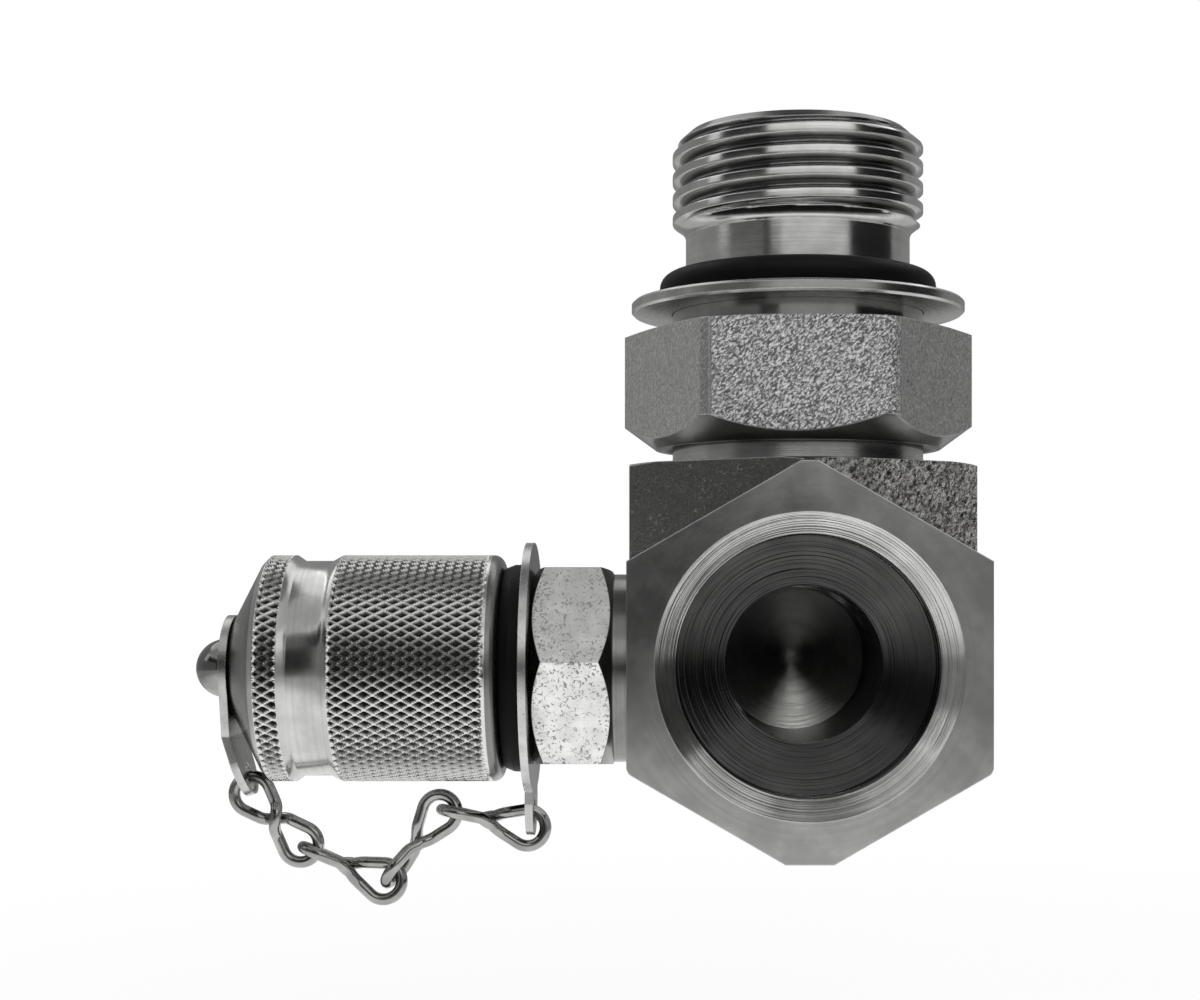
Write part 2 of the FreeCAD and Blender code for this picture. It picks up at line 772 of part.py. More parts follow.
def main():
    os.makedirs("parts", exist_ok=True)
    pieces = (elbow_body, lock_nut, backup_washer, stud_o_ring, test_coupling, coupling_seal,
              valve_poppet, poppet_seal, valve_spring, spring_retainer, chain_ring, dust_ring,
              cap_shell, cap_gasket, cap_rivet, cap_strap)
    for piece in pieces:
        save(piece.__name__, piece())
    for number, link in enumerate(chain_links(), start=1):
        save("chain_link_%d" % number, link)


main()
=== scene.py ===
"""Dresses the hydraulic adapter: threads, knurl, wire chain and the finishes of its steel and rubber."""

import json
import math

import bmesh
import bpy
from bpy.props import FloatProperty, FloatVectorProperty, IntProperty, PointerProperty
from mathutils import Matrix, Vector


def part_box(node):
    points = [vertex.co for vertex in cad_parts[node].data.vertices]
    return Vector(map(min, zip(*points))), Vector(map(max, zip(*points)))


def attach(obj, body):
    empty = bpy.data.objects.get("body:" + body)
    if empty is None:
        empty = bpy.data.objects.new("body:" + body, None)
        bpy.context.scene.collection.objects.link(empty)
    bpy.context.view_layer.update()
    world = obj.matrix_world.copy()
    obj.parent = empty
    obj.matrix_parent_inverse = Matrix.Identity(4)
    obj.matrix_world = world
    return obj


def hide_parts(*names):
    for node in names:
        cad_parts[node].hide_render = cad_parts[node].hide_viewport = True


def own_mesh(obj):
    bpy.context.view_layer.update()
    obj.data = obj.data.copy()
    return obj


bl_info = {
    "name": "Hydraulic Adapter Dressing",
    "version": (1, 0, 0),
    "blender": (4, 5, 0),
    "location": "3D View > Sidebar > Adapter",
    "description": "Threads, knurl, wire chain and finishes of a hydraulic adapter with a test point",
    "category": "Object",
}

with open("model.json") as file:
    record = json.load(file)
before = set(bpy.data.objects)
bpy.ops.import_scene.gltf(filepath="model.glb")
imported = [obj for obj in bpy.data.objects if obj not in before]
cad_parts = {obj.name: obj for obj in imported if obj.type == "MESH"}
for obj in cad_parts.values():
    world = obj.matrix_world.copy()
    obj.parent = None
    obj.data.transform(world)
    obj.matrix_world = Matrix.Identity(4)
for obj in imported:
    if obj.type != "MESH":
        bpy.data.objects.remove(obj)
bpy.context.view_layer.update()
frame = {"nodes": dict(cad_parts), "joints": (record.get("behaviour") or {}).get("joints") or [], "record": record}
NODES = frame["nodes"]

MM = 0.001
RIGHT_ANGLE = math.radians(90)
ALONG_X = Matrix.Rotation(RIGHT_ANGLE, 4, "Y")
ALONG_Y = Matrix.Rotation(-RIGHT_ANGLE, 4, "X")

# Places on the solid model
CAP_LOW, CAP_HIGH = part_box("cap_shell")
CAP_RADIUS = 0.5 * (CAP_HIGH.z - CAP_LOW.z)
TEST_HEIGHT = 0.5 * (CAP_LOW.z + CAP_HIGH.z)
BLOCK_LOW, BLOCK_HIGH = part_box("elbow_body")
PORT_FACE, STUD_TIP = BLOCK_LOW.y, BLOCK_HIGH.z
PORT_HEIGHT = TEST_HEIGHT + 0.65 * MM
NUT_BOTTOM, NUT_TOP = (corner.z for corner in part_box("lock_nut"))
RING_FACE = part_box("chain_ring")[1].x
HEXAGON_LOW, HEXAGON_HIGH = RING_FACE + 0.02 * MM, RING_FACE + 7.12 * MM

# Axes of the turned surfaces: a point, and the turn that brings Z onto the axis
ON_STUD = (0, 0, 0), (0, 0, 0)
ON_PORT = (0, 0, PORT_HEIGHT), (RIGHT_ANGLE, 0, 0)
ON_TEST = (0, 0, TEST_HEIGHT), (0, RIGHT_ANGLE, 0)

GAP = 0.03 * MM  # left at each end of a band that is taken out of a solid's skin
LEAD = 0.05 * MM  # plain ring at each end of a thread
WELD = 0.0004 * MM  # points closer than this are one
THREAD_ROWS = 16.0  # faces along one pitch of a thread
KNURL_STEPS = 8.0  # faces from one crossing of the knurl to the next


# Settings that a user would change

def length(name, value, about):
    return FloatProperty(name=name, description=about, default=value, unit="LENGTH", precision=6)


def number(name, value, about, **limits):
    return FloatProperty(name=name, description=about, default=value, **limits)


def tint(name, value, about):
    return FloatVectorProperty(name=name, description=about, default=value, subtype="COLOR", size=3,
                               min=0.0, max=1.0)


class StageSettings(bpy.types.PropertyGroup):
    lens: number("Lens", 60.0, "Focal length of the camera, in mm", min=10.0)
    distance: length("Distance", 0.1774, "From the stud's axis to the camera")
    side: length("Side", 0.0102, "How far left of the stud's axis the camera stands")
    rise: length("Rise", 0.00603, "Camera above the test point's axis")
    shift_x: number("Shift X", -0.06875, "Sideways shift of the picture")
    shift_y: number("Shift Y", 0.08333, "Upward shift of the picture")
    floor_drop: length("Floor Drop", 0.012, "Floor below the lowest link of the chain")
    lamp_watts: number("Lamp Power", 0.55, "Power of each soft lamp", min=0.0)
    bore_watts: number("Bore Power", 0.003, "Power of the light down the stud's bore", min=0.0)


class SteelSettings(bpy.types.PropertyGroup):
    turned: tint("Turned Steel", (0.70, 0.70, 0.685), "Colour of the turned and plated surfaces")
    forged: tint("Forged Steel", (0.30, 0.295, 0.285), "Colour of the rough forged flats")
    rubber: tint("Rubber", (0.004, 0.004, 0.004), "Colour of the rubber rings")


class ThreadSettings(bpy.types.PropertyGroup):
    pitch: length("Pitch", 0.00181429, "Pitch of the stud's thread")
    crest: length("Crest Radius", 0.011075, "Radius over the stud's thread")
    root: length("Root Radius", 0.01, "Radius at the bottom of the stud's thread")
    port_root: length("Port Root Radius", 0.0116, "Radius at the bottom of the port's thread")
    columns: IntProperty(name="Columns", description="Faces round one turn", default=144, min=24)


class KnurlSettings(bpy.types.PropertyGroup):
    teeth: IntProperty(name="Teeth", description="Ridges of one set round the cap", default=71, min=12)
    pitch: length("Axial Pitch", 0.00155, "Along the cap from one crossing to the next")
    depth: length("Depth", 0.0004, "Depth of the pits between the ridges")


class ChainSettings(bpy.types.PropertyGroup):
    wire: length("Wire", 0.00105, "Diameter of the chain's wire")
    eye: length("Eye Radius", 0.0016, "Radius of an eye's centre line")
    waist: length("Waist Radius", 0.00054, "Radius of the centre line at the waist")


SETTINGS = {
    "adapter_stage": StageSettings,
    "adapter_steel": SteelSettings,
    "adapter_thread": ThreadSettings,
    "adapter_knurl": KnurlSettings,
    "adapter_chain": ChainSettings,
}


# Formulas inside node trees

class Field:
    """A value in a node tree that can be used in a formula."""

    def __init__(self, tree, socket):
        self.tree, self.socket = tree, socket

    def math(self, operation, *others):
        node = self.tree.nodes.new("ShaderNodeMath")
        node.operation = operation
        for place, value in enumerate((self, *others)):
            feed(self.tree, value, node.inputs[place])
        return Field(self.tree, node.outputs[0])

    def __add__(self, other): return self.math("ADD", other)
    def __sub__(self, other): return self.math("SUBTRACT", other)
    def __rsub__(self, other): return self.math("MULTIPLY", -1.0).math("ADD", other)
    def __mul__(self, other): return self.math("MULTIPLY", other)
    def __truediv__(self, other): return self.math("DIVIDE", other)
    def low(self, other): return self.math("MINIMUM", other)
    def high(self, other): return self.math("MAXIMUM", other)
    def fold(self): return (self.math("FRACT") - 0.5).math("ABSOLUTE") * 2.0
    def between(self, low, high): return self.high(low).low(high)

    def ramp(self, low, high):
        """0 at low, 1 at high, smooth between."""
        node = add(self.tree, "ShaderNodeMapRange", Value=self, From_Min=low, From_Max=high)
        node.interpolation_type = "SMOOTHSTEP"
        return Field(self.tree, node.outputs["Result"])


def feed(tree, value, socket):
    """Put a field, a socket, a node's first output or a plain value into a socket."""
    if isinstance(value, Field):
        value = value.socket
    elif isinstance(value, bpy.types.Node):
        value = value.outputs[0]
    if isinstance(value, bpy.types.NodeSocket):
        tree.links.new(value, socket)
    elif value is not None:
        socket.default_value = value


def add(tree, kind, **values):
    """A new node, with its inputs fed by their labels."""
    node = tree.nodes.new(kind)
    for label, value in values.items():
        feed(tree, value, node.inputs[label.replace("_", " ")])
    return node


def split_axes(tree, vector):
    return [Field(tree, output) for output in add(tree, "ShaderNodeSeparateXYZ", Vector=vector).outputs]


def join_axes(tree, x, y, z):
    return add(tree, "ShaderNodeCombineXYZ", X=x, Y=y, Z=z)


def across(x, y):
    """Distance from the Z axis."""
    return (x * x + y * y).math("SQRT")


def new_group(name, kind, inputs, outputs):
    """A node group, its inputs and its output node; a socket is given by its type or its default value."""
    tree = bpy.data.node_groups.new(name, kind)
    for side, sockets in (("INPUT", inputs), ("OUTPUT", outputs)):
        for label, value in sockets.items():
            plain = isinstance(value, str)
            socket_type = "NodeSocket" + (value if plain else type(value).__name__.capitalize())
            item = tree.interface.new_socket(name=label, in_out=side, socket_type=socket_type)
            if not plain:
                item.default_value = value
    entry = tree.nodes.new("NodeGroupInput")
    leave = tree.nodes.new("NodeGroupOutput")
    return tree, {label: Field(tree, entry.outputs[label]) for label in inputs}, leave


# Geometry Nodes

def wound_surface(tree, columns, rows, place):
    """A grid whose points are placed by a formula of its u and v, from 0 to 1, with the seam merged."""
    grid = add(tree, "GeometryNodeMeshGrid", Size_X=1.0, Size_Y=1.0, Vertices_X=columns + 1.0,
               Vertices_Y=rows + 1.0)
    x, y, _ = split_axes(tree, add(tree, "GeometryNodeInputPosition"))
    radius, angle, along = place(x + 0.5, y + 0.5)
    spot = join_axes(tree, radius * angle.math("COSINE"), radius * angle.math("SINE"), along)
    move = add(tree, "GeometryNodeSetPosition", Geometry=grid, Position=spot)
    return add(tree, "GeometryNodeMergeByDistance", Geometry=move, Distance=WELD)


def finish_tree(tree, geometry, leave, material):
    """Every tree ends in Realize Instances and Set Material."""
    realize = add(tree, "GeometryNodeRealizeInstances", Geometry=geometry)
    paint = add(tree, "GeometryNodeSetMaterial", Geometry=realize, Material=material)
    feed(tree, paint, leave.inputs["Geometry"])


def thread_tree():
    """A thread cut in a tube: rows follow the helix, and both ends run out to plain rings."""
    tree, given, leave = new_group("Cut Thread", "GeometryNodeTree", {
        "Pitch": 0.0018, "Inner Radius": 0.01, "Outer Radius": 0.011, "Bottom": 0.0, "Top": 0.01,
        "Bottom Radius": 0.01, "Top Radius": 0.01, "Bottom Slope": 1.0, "Top Slope": 1.0,
        "Bottom Hollow": 0.0, "Plain Land": -1.0, "Turns": 6, "Columns": 144, "Start": 0.0,
        "Material": "Material"}, {"Geometry": "Geometry"})

    def place(u, v):
        free = given["Bottom"] - given["Pitch"] * 2.0 + (v * given["Turns"] + u) * given["Pitch"]
        along = free.high(given["Bottom"]).low(given["Top"])
        phase = (v * given["Turns"]).fold()
        depth = given["Outer Radius"] - given["Inner Radius"]
        cut = given["Inner Radius"] + depth * (0.96 - phase).ramp(0.0, 0.62)
        land = given["Outer Radius"] - (along - given["Plain Land"]).high(0.0) * 3.0
        rise = along - given["Bottom"]
        low_end = given["Bottom Radius"] + rise * given["Bottom Slope"] + rise * rise * given["Bottom Hollow"]
        high_end = given["Top Radius"] + (given["Top"] - along) * given["Top Slope"]
        return cut.high(land).low(low_end).low(high_end), (u + given["Start"]) * (2.0 * math.pi), along

    surface = wound_surface(tree, given["Columns"] * 1.0, given["Turns"] * THREAD_ROWS, place)
    finish_tree(tree, surface, leave, given["Material"])
    return tree


def knurl_tree():
    """A knurled band: two crossing sets of sharp ridges with pits between, fading out at both edges."""
    tree, given, leave = new_group("Diamond Knurl", "GeometryNodeTree", {
        "Radius": 0.01, "Depth": 0.00026, "Axial Pitch": 0.00155, "Length": 0.0137, "Fade": 0.0002,
        "Teeth": 71, "Rows": 72, "Material": "Material"}, {"Geometry": "Geometry"})

    def place(u, v):
        along = (v * given["Rows"] * given["Axial Pitch"] / KNURL_STEPS).low(given["Length"])
        steps = along / given["Axial Pitch"]
        rising = (u * given["Teeth"] + steps).fold()
        falling = (u * given["Teeth"] - steps).fold()
        ridge = ((rising - 0.30) / 0.62).between(0.0, 1.0).high(((falling - 0.36) / 0.68).between(0.0, 1.0))
        edge = (along / given["Fade"]).low((given["Length"] - along) / given["Fade"]).between(0.0, 1.0)
        return given["Radius"] - given["Depth"] * ((1.0 - ridge) * edge), u * (2.0 * math.pi), along

    surface = wound_surface(tree, given["Teeth"] * KNURL_STEPS, given["Rows"] * 1.0, place)
    finish_tree(tree, surface, leave, given["Material"])
    return tree


def wire_tree():
    """Wire of one diameter along the lines it is given."""
    tree, given, leave = new_group("Bent Wire", "GeometryNodeTree", {
        "Geometry": "Geometry", "Diameter": 0.001, "Sides": 14, "Material": "Material"},
        {"Geometry": "Geometry"})
    line = add(tree, "GeometryNodeMeshToCurve", Mesh=given["Geometry"])
    section = add(tree, "GeometryNodeCurvePrimitiveCircle", Resolution=given["Sides"],
                  Radius=given["Diameter"] * 0.5)
    sweep = add(tree, "GeometryNodeCurveToMesh", Curve=line, Profile_Curve=section, Fill_Caps=True)
    finish_tree(tree, sweep, leave, given["Material"])
    return tree


TREES = {}


def put(name, data):
    """A new object in the scene."""
    piece = bpy.data.objects.new(name, data)
    bpy.context.scene.collection.objects.link(piece)
    return piece


def grow(tree, mesh=None, **values):
    """Run a tree with its named inputs and return the plain mesh it makes."""
    holder = put("holder", mesh or bpy.data.meshes.new("holder"))
    modifier = holder.modifiers.new("Shape", "NODES")
    modifier.node_group = tree
    names = {item.name.replace(" ", "_").lower(): item.identifier
             for item in tree.interface.items_tree if item.in_out == "INPUT"}
    for name, value in values.items():
        modifier[names[name]] = value
    bpy.context.view_layer.update()
    depsgraph = bpy.context.evaluated_depsgraph_get()
    made = bpy.data.meshes.new_from_object(holder.evaluated_get(depsgraph), depsgraph=depsgraph)
    holder.modifiers.clear()
    bpy.data.objects.remove(holder)
    return made


# Shader node groups

def noise(tree, vector, scale, detail=3.0, roughness=0.55, distortion=0.0):
    node = add(tree, "ShaderNodeTexNoise", Vector=vector, Scale=scale, Detail=detail, Roughness=roughness,
               Distortion=distortion)
    return Field(tree, node.outputs["Fac"])


def turned_group():
    """Fine tool marks round the Z axis of the vector it is given."""
    tree, given, leave = new_group("Turning Marks", "ShaderNodeTree", {
        "Vector": "Vector", "Spacing": 0.0001}, {"Height": "Float", "Tone": "Float"})
    x, y, z = split_axes(tree, given["Vector"])
    radius = across(x, y).high(0.01 * MM)
    place = join_axes(tree, x / radius * 0.6, y / radius * 0.6, (z + radius) / given["Spacing"])
    feed(tree, noise(tree, place, 1.0, 2.0), leave.inputs["Height"])
    feed(tree, noise(tree, place, 0.23, 3.0), leave.inputs["Tone"])
    return tree


def grain_group():
    """Coarse grain of a rolled or forged skin, drawn out along a slant."""
    tree, given, leave = new_group("Forged Grain", "ShaderNodeTree", {
        "Vector": "Vector", "Size": 0.0004, "Slant": 0.6}, {"Height": "Float", "Tone": "Float"})
    turn = add(tree, "ShaderNodeVectorRotate", Vector=given["Vector"], Angle=given["Slant"])
    turn.rotation_type = "Y_AXIS"
    stretch = add(tree, "ShaderNodeVectorMath", Vector=turn)
    stretch.operation = "MULTIPLY"
    stretch.inputs[1].default_value = (0.62, 1.0, 1.25)
    scale = given["Size"].math("POWER", -1.0)
    lumps = noise(tree, stretch, scale, 2.5, 0.6, 0.6)
    fine = noise(tree, given["Vector"], scale * 2.7, 2.0, 0.6)
    feed(tree, lumps * 0.75 + fine * 0.25, leave.inputs["Height"])
    feed(tree, noise(tree, given["Vector"], scale * 0.12, 3.0), leave.inputs["Tone"])
    return tree


def speck_group():
    """Scattered small pits: 1 inside a pit, 0 elsewhere."""
    tree, given, leave = new_group("Dark Specks", "ShaderNodeTree", {
        "Vector": "Vector", "Size": 0.0003, "Amount": 0.4}, {"Mask": "Float"})
    scale = given["Size"].math("POWER", -1.0)
    marks = noise(tree, given["Vector"], scale, 3.0, 0.65, 0.8)
    patches = noise(tree, given["Vector"], scale * 0.1, 2.0)
    level = 0.76 - given["Amount"] * 0.16 - (patches - 0.5) * 0.25
    feed(tree, ((marks - level) * 14.0).between(0.0, 1.0), leave.inputs["Mask"])
    return tree


def edge_group():
    """Sharp edges: 1 on a sharp outer edge, 0 on open surfaces; used both for edge wear and for painted dark edge
    shade.
    """
    tree, given, leave = new_group("Worn Edge", "ShaderNodeTree", {"Width": 0.00016},
                                   {"Mask": "Float", "Normal": "Vector"})
    bevel = add(tree, "ShaderNodeBevel", Radius=given["Width"])
    bevel.samples = 4
    dot = add(tree, "ShaderNodeVectorMath", Vector=bevel)
    dot.operation = "DOT_PRODUCT"
    feed(tree, add(tree, "ShaderNodeNewGeometry").outputs["Normal"], dot.inputs[1])
    turn = 1.0 - Field(tree, dot.outputs["Value"]).math("ABSOLUTE")
    feed(tree, turn.ramp(0.01, 0.12), leave.inputs["Mask"])
    feed(tree, bevel, leave.inputs["Normal"])
    return tree


GROUPS = {}


# Finishes: a layer is a colour, a roughness and a height

def opaque(value):
    return (*value, 1.0) if isinstance(value, tuple) else value


def tinted(colour, factor):
    return tuple(min(1.0, channel * factor) for channel in colour)


class Finish:
    """A metal or rubber finish, built up from the shared effects. Their lengths are given in mm."""

    LENGTHS = "spacing", "size", "width"

    def __init__(self, name, metallic=1.0):
        self.material = bpy.data.materials.new(name)
        self.material.use_nodes = True
        self.tree = self.material.node_tree
        self.shader = self.tree.nodes["Principled BSDF"]
        self.shader.inputs["Metallic"].default_value = metallic
        self.out = self.tree.nodes["Material Output"].inputs[0]
        self.place = self.tree.nodes.new("ShaderNodeTexCoord").outputs["Object"]

    def axes(self):
        return split_axes(self.tree, self.place)

    def mapped(self, centre, rotation):
        """Object coordinates about a centre, turned so that the piece's axis is Z."""
        node = add(self.tree, "ShaderNodeMapping", Vector=self.place, Location=centre, Rotation=rotation)
        node.vector_type = "TEXTURE"
        return node

    def around(self, axis):
        """Distance from an axis, and the place along it."""
        x, y, z = split_axes(self.tree, self.mapped(*axis))
        return across(x, y), z

    def noise(self, *values):
        return noise(self.tree, self.place, *values)

    def group(self, name, **values):
        """One of the shared effects; returns its outputs by name."""
        node = self.tree.nodes.new("ShaderNodeGroup")
        node.node_tree = GROUPS[name]
        for label, value in values.items():
            feed(self.tree, value * MM if label in self.LENGTHS else value, node.inputs[label.capitalize()])
        return {output.name: Field(self.tree, output) for output in node.outputs}

    def mix(self, amount, first, second):
        """The first colour where amount is 0, the second where it is 1."""
        node = add(self.tree, "ShaderNodeMix", Factor=amount)
        node.data_type = "RGBA"
        sockets = [socket for socket in node.inputs if socket.type == "RGBA"]
        for socket, value in zip(sockets, (first, second)):
            feed(self.tree, opaque(value), socket)
        return next(socket for socket in node.outputs if socket.type == "RGBA")

    def over(self, mask, lower, upper):
        """One layer over another, where the mask is 1."""
        shade = self.mix(mask, lower[0], upper[0])
        return (shade, *(one + (other - one) * mask for one, other in zip(lower[1:], upper[1:])))

    def bump(self, height, distance=1.0, normal=None):
        return add(self.tree, "ShaderNodeBump", Height=height, Distance=distance, Strength=1.0,
                   Normal=normal)

    def end(self, colour, roughness, normal=None):
        for name, value in (("Base Color", opaque(colour)), ("Roughness", roughness), ("Normal", normal)):
            feed(self.tree, value, self.shader.inputs[name])
        return self.material

    def worn(self, layer, colour, width=0.14, amount=0.7, gain=1.5):
        """The finished metal: a layer whose edges are tinted, bright as edge wear with a gain above 1, dark as
        painted shade with a gain below 1.
        """
        edge = self.group("Worn Edge", width=width)
        shade = self.mix(edge["Mask"] * amount, layer[0], tinted(colour, gain))
        return self.end(shade, layer[1], self.bump(layer[2], normal=edge["Normal"]))

    def turned(self, colour, axis, spacing=0.12, depth=0.0018, rough=0.16):
        """Bright turned and plated steel, with tool marks round an axis."""
        marks = self.group("Turning Marks", vector=self.mapped(*axis), spacing=spacing)
        stains = self.noise(260.0, 4.0)
        shade = self.mix(stains.ramp(0.35, 0.7), tinted(colour, 0.82), tinted(colour, 1.08))
        shade = self.mix(marks["Tone"].ramp(0.4, 0.75) * 0.35, shade, tinted(colour, 0.6))
        return shade, marks["Tone"] * 0.14 + stains * 0.08 + (rough - 0.08), marks["Height"] * (depth * MM)

    def grain(self, colour, size, depth, contrast=0.5, rough=0.3, slant=0.6, soft=0.17):
        """Plated steel that keeps the coarse skin of the bar or forging."""
        grain = self.group("Forged Grain", vector=self.place, size=size, slant=slant)
        shade = self.mix(grain["Height"].ramp(0.51 - soft, 0.51 + soft), tinted(colour, 1.0 - contrast),
                         tinted(colour, 1.0 + contrast))
        shade = self.mix(grain["Tone"].ramp(0.4, 0.8) * 0.3, shade, tinted(colour, 0.7))
        roughness = 1.0 - (grain["Height"].ramp(0.3, 0.7) * 0.18 + (0.91 - rough))
        return shade, roughness, grain["Height"] * (depth * MM)

    def specks(self, colour, size, amount, rough=0.3, dark=0.75):
        """Smooth plated flats with dark specks and a faint grain."""
        specks = self.group("Dark Specks", vector=self.place, size=size, amount=amount)
        grain = self.group("Forged Grain", vector=self.place, size=0.22, slant=0.2)
        shade = self.mix(grain["Tone"].ramp(0.3, 0.75), tinted(colour, 0.85), tinted(colour, 1.1))
        shade = self.mix(grain["Height"].ramp(0.5, 0.75) * 0.35, shade, tinted(colour, 0.7))
        shade = self.mix(specks["Mask"] * dark, shade, tinted(colour, 0.2))
        roughness = specks["Mask"] * 0.3 + grain["Height"] * 0.1 + (rough - 0.05)
        return shade, roughness, (grain["Height"] * 0.3 - specks["Mask"]) * (0.006 * MM)


def turned_steel(name, colour, axis, width=0.12, gain=1.5, **values):
    finish = Finish(name)
    return finish.worn(finish.turned(colour, axis, **values), colour, width, gain=gain)


def speckled_steel(name, colour, *values, **others):
    finish = Finish(name)
    return finish.worn(finish.specks(colour, *values, **others), colour)


def thread_steel(name, colour):
    """Turned steel with painted shade in the roots of the stud's thread."""
    finish = Finish(name)
    radius, along = finish.around(ON_STUD)
    # painted shade: darker in the thread's roots above the flare, where shade falls between the crests
    deep = (1.0 - radius.ramp(10.05 * MM, 10.7 * MM)) * along.ramp(-3.6 * MM, -3.1 * MM)
    layer = finish.turned(colour, ON_STUD, rough=0.14)
    shade = finish.mix(deep * 0.75, layer[0], tinted(colour, 0.12))
    return finish.worn((shade, *layer[1:]), colour, 0.12)


def neck_steel(name, colour):
    """Coarse tool marks under the nut, fine ones above it; above the nut the steel is darker as painted shade
    under the washer, and the edges are painted dark.
    """
    finish = Finish(name)
    _, along = finish.around(ON_STUD)
    upper = along.ramp(NUT_TOP - 0.4 * MM, NUT_TOP - 0.3 * MM)
    coarse = finish.turned(colour, ON_STUD, spacing=0.2, depth=0.012, rough=0.2)
    # painted shade: the layer above the nut is a darker copy of the steel, for the shade between nut and washer
    fine = finish.turned(tinted(colour, 0.7), ON_STUD, spacing=0.2, rough=0.12)
    return finish.worn(finish.over(upper, coarse, fine), colour, gain=0.6)


def ring_steel(name, colour):
    """Speckled sheet whose face towards the hexagon is darker, as painted shade between the parts."""
    finish = Finish(name)
    # painted shade: the face towards the hexagon is a darker copy of the sheet
    inner = finish.axes()[0].ramp(RING_FACE - 0.04 * MM, RING_FACE - 0.02 * MM)
    edge = finish.specks(tinted(colour, 1.1), 0.2, 0.6, rough=0.25)
    face = finish.specks(tinted(colour, 0.35), 0.2, 0.45, rough=0.28)
    return finish.worn(finish.over(inner, edge, face), colour, 0.1)


def nut_steel(name, colour):
    """Grainy flats, the front one painted brighter than the sides as painted light, and a smooth turned chamfer
    and bore.
    """
    finish = Finish(name)
    radius, along = finish.around(ON_STUD)
    chamfer = (radius - 12.6 * MM) * 0.7326
    flat = ((along - NUT_BOTTOM) - chamfer).ramp(0.02 * MM, 0.06 * MM) * radius.ramp(13.3 * MM, 13.4 * MM)
    side = finish.axes()[0].math("ABSOLUTE").ramp(7.7 * MM, 8.0 * MM)
    # painted light: the front flat is a brighter copy of the steel than the side flats; their grains differ too
    painted_bright_front = finish.grain(tinted(colour, 1.5), 0.19, 0.2, contrast=0.85, rough=0.1, slant=0.75, soft=0.08)
    sides = finish.grain(colour, 0.26, 0.06, contrast=0.3, rough=0.3, slant=0.9)
    pits = finish.group("Dark Specks", vector=finish.place, size=0.6, amount=0.5)
    sides = (finish.mix(pits["Mask"] * 0.7, sides[0], tinted(colour, 0.1)), *sides[1:])
    turned = finish.turned(tinted(colour, 0.4), ON_STUD, spacing=0.16, rough=0.2)
    layer = finish.over(flat, turned, finish.over(side, painted_bright_front, sides))
    return finish.worn(layer, colour, 0.16, 0.6, 1.4)


def forged_steel(name, colour):
    """The block's rough flats: fine grain with painted glints on the left, coarse and deep on the right."""
    finish = Finish(name)
    right = finish.axes()[0].ramp(-1.0 * MM, 1.0 * MM)
    fine = finish.grain(tinted(colour, 0.8), 0.2, 0.05, contrast=0.3, rough=0.34)
    coarse = finish.grain(tinted(colour, 1.25), 0.34, 0.34, contrast=1.0, rough=0.15, slant=0.8)
    # painted glints: small bright dots in the colour of the left flats
    painted_glints = finish.group("Dark Specks", vector=finish.place, size=0.32, amount=0.9)
    fine = (finish.mix(painted_glints["Mask"] * 0.8, fine[0], tinted(colour, 2.2)), *fine[1:])
    return finish.worn(finish.over(right, fine, coarse), colour, 0.18, 0.8, 2.2)


def coupling_steel(name, colour):
    """Speckled flats on the hexagon; chamfers, collar and threads are turned; the edges are painted dark as shade
    lines between the flats.
    """
    finish = Finish(name)
    radius, along = finish.around(ON_TEST)
    cone = (radius - 8.2 * MM) * 0.681
    inside = (HEXAGON_HIGH - cone - along).low(along - HEXAGON_LOW - cone)
    flat = inside.ramp(0.02 * MM, 0.05 * MM) * radius.ramp(8.44 * MM, 8.46 * MM)
    flats = finish.specks(colour, 0.3, 1.3, rough=0.3, dark=0.7)
    turned = finish.turned(tinted(colour, 0.31), ON_TEST, rough=0.2)
    # painted shade: a gain of 0.2 tints the hexagon's edges dark
    return finish.worn(finish.over(flat, turned, flats), colour, 0.12, 0.8, 0.2)


def knurled_steel(name, colour, depth):
    """Painted highlights on the ridges and painted shade in the pits, by the distance from the cap's axis."""
    finish = Finish(name)
    radius, _ = finish.around(ON_TEST)
    # painted light: bright ridges as highlights and dark pits as shade
    ridge = radius.ramp(CAP_RADIUS - depth * 0.85, CAP_RADIUS - depth * 0.1)
    scuffs = finish.noise(2200.0, 3.0, 0.6, 0.4)
    shade = finish.mix(ridge, tinted(colour, 0.1), tinted(colour, 1.15))
    shade = finish.mix(scuffs.ramp(0.55, 0.75) * 0.35, shade, tinted(colour, 0.4))
    return finish.end(shade, 0.42 - ridge * 0.2, finish.bump(scuffs, 0.006 * MM))


def drawn_steel(name, colour, rough, dirt):
    """Bright plated wire and small turned parts."""
    finish = Finish(name)
    scuffs = finish.noise(1500.0, 4.0, 0.6, 0.4)
    stains = finish.noise(320.0, 3.0)
    shade = finish.mix(stains.ramp(0.35, 0.7), tinted(colour, 0.75), tinted(colour, 1.15))
    shade = finish.mix(scuffs.ramp(0.62, 0.75) * dirt, shade, tinted(colour, 0.45))
    return finish.end(shade, scuffs * 0.16 + (rough - 0.05), finish.bump(scuffs, 0.0015 * MM))


def moulded_rubber(name, colour):
    """Smooth nitrile rubber with a soft sheen."""
    finish = Finish(name, metallic=0.0)
    skin = finish.noise(2600.0, 3.0)
    dust = finish.noise(420.0, 4.0)
    shade = finish.mix(dust.ramp(0.5, 0.8) * 0.5, colour, tinted(colour, 2.0))
    finish.shader.inputs["Specular IOR Level"].default_value = 0.12
    return finish.end(shade, dust * 0.2 + 0.4, finish.bump(skin, 0.004 * MM))


MATERIALS = {}


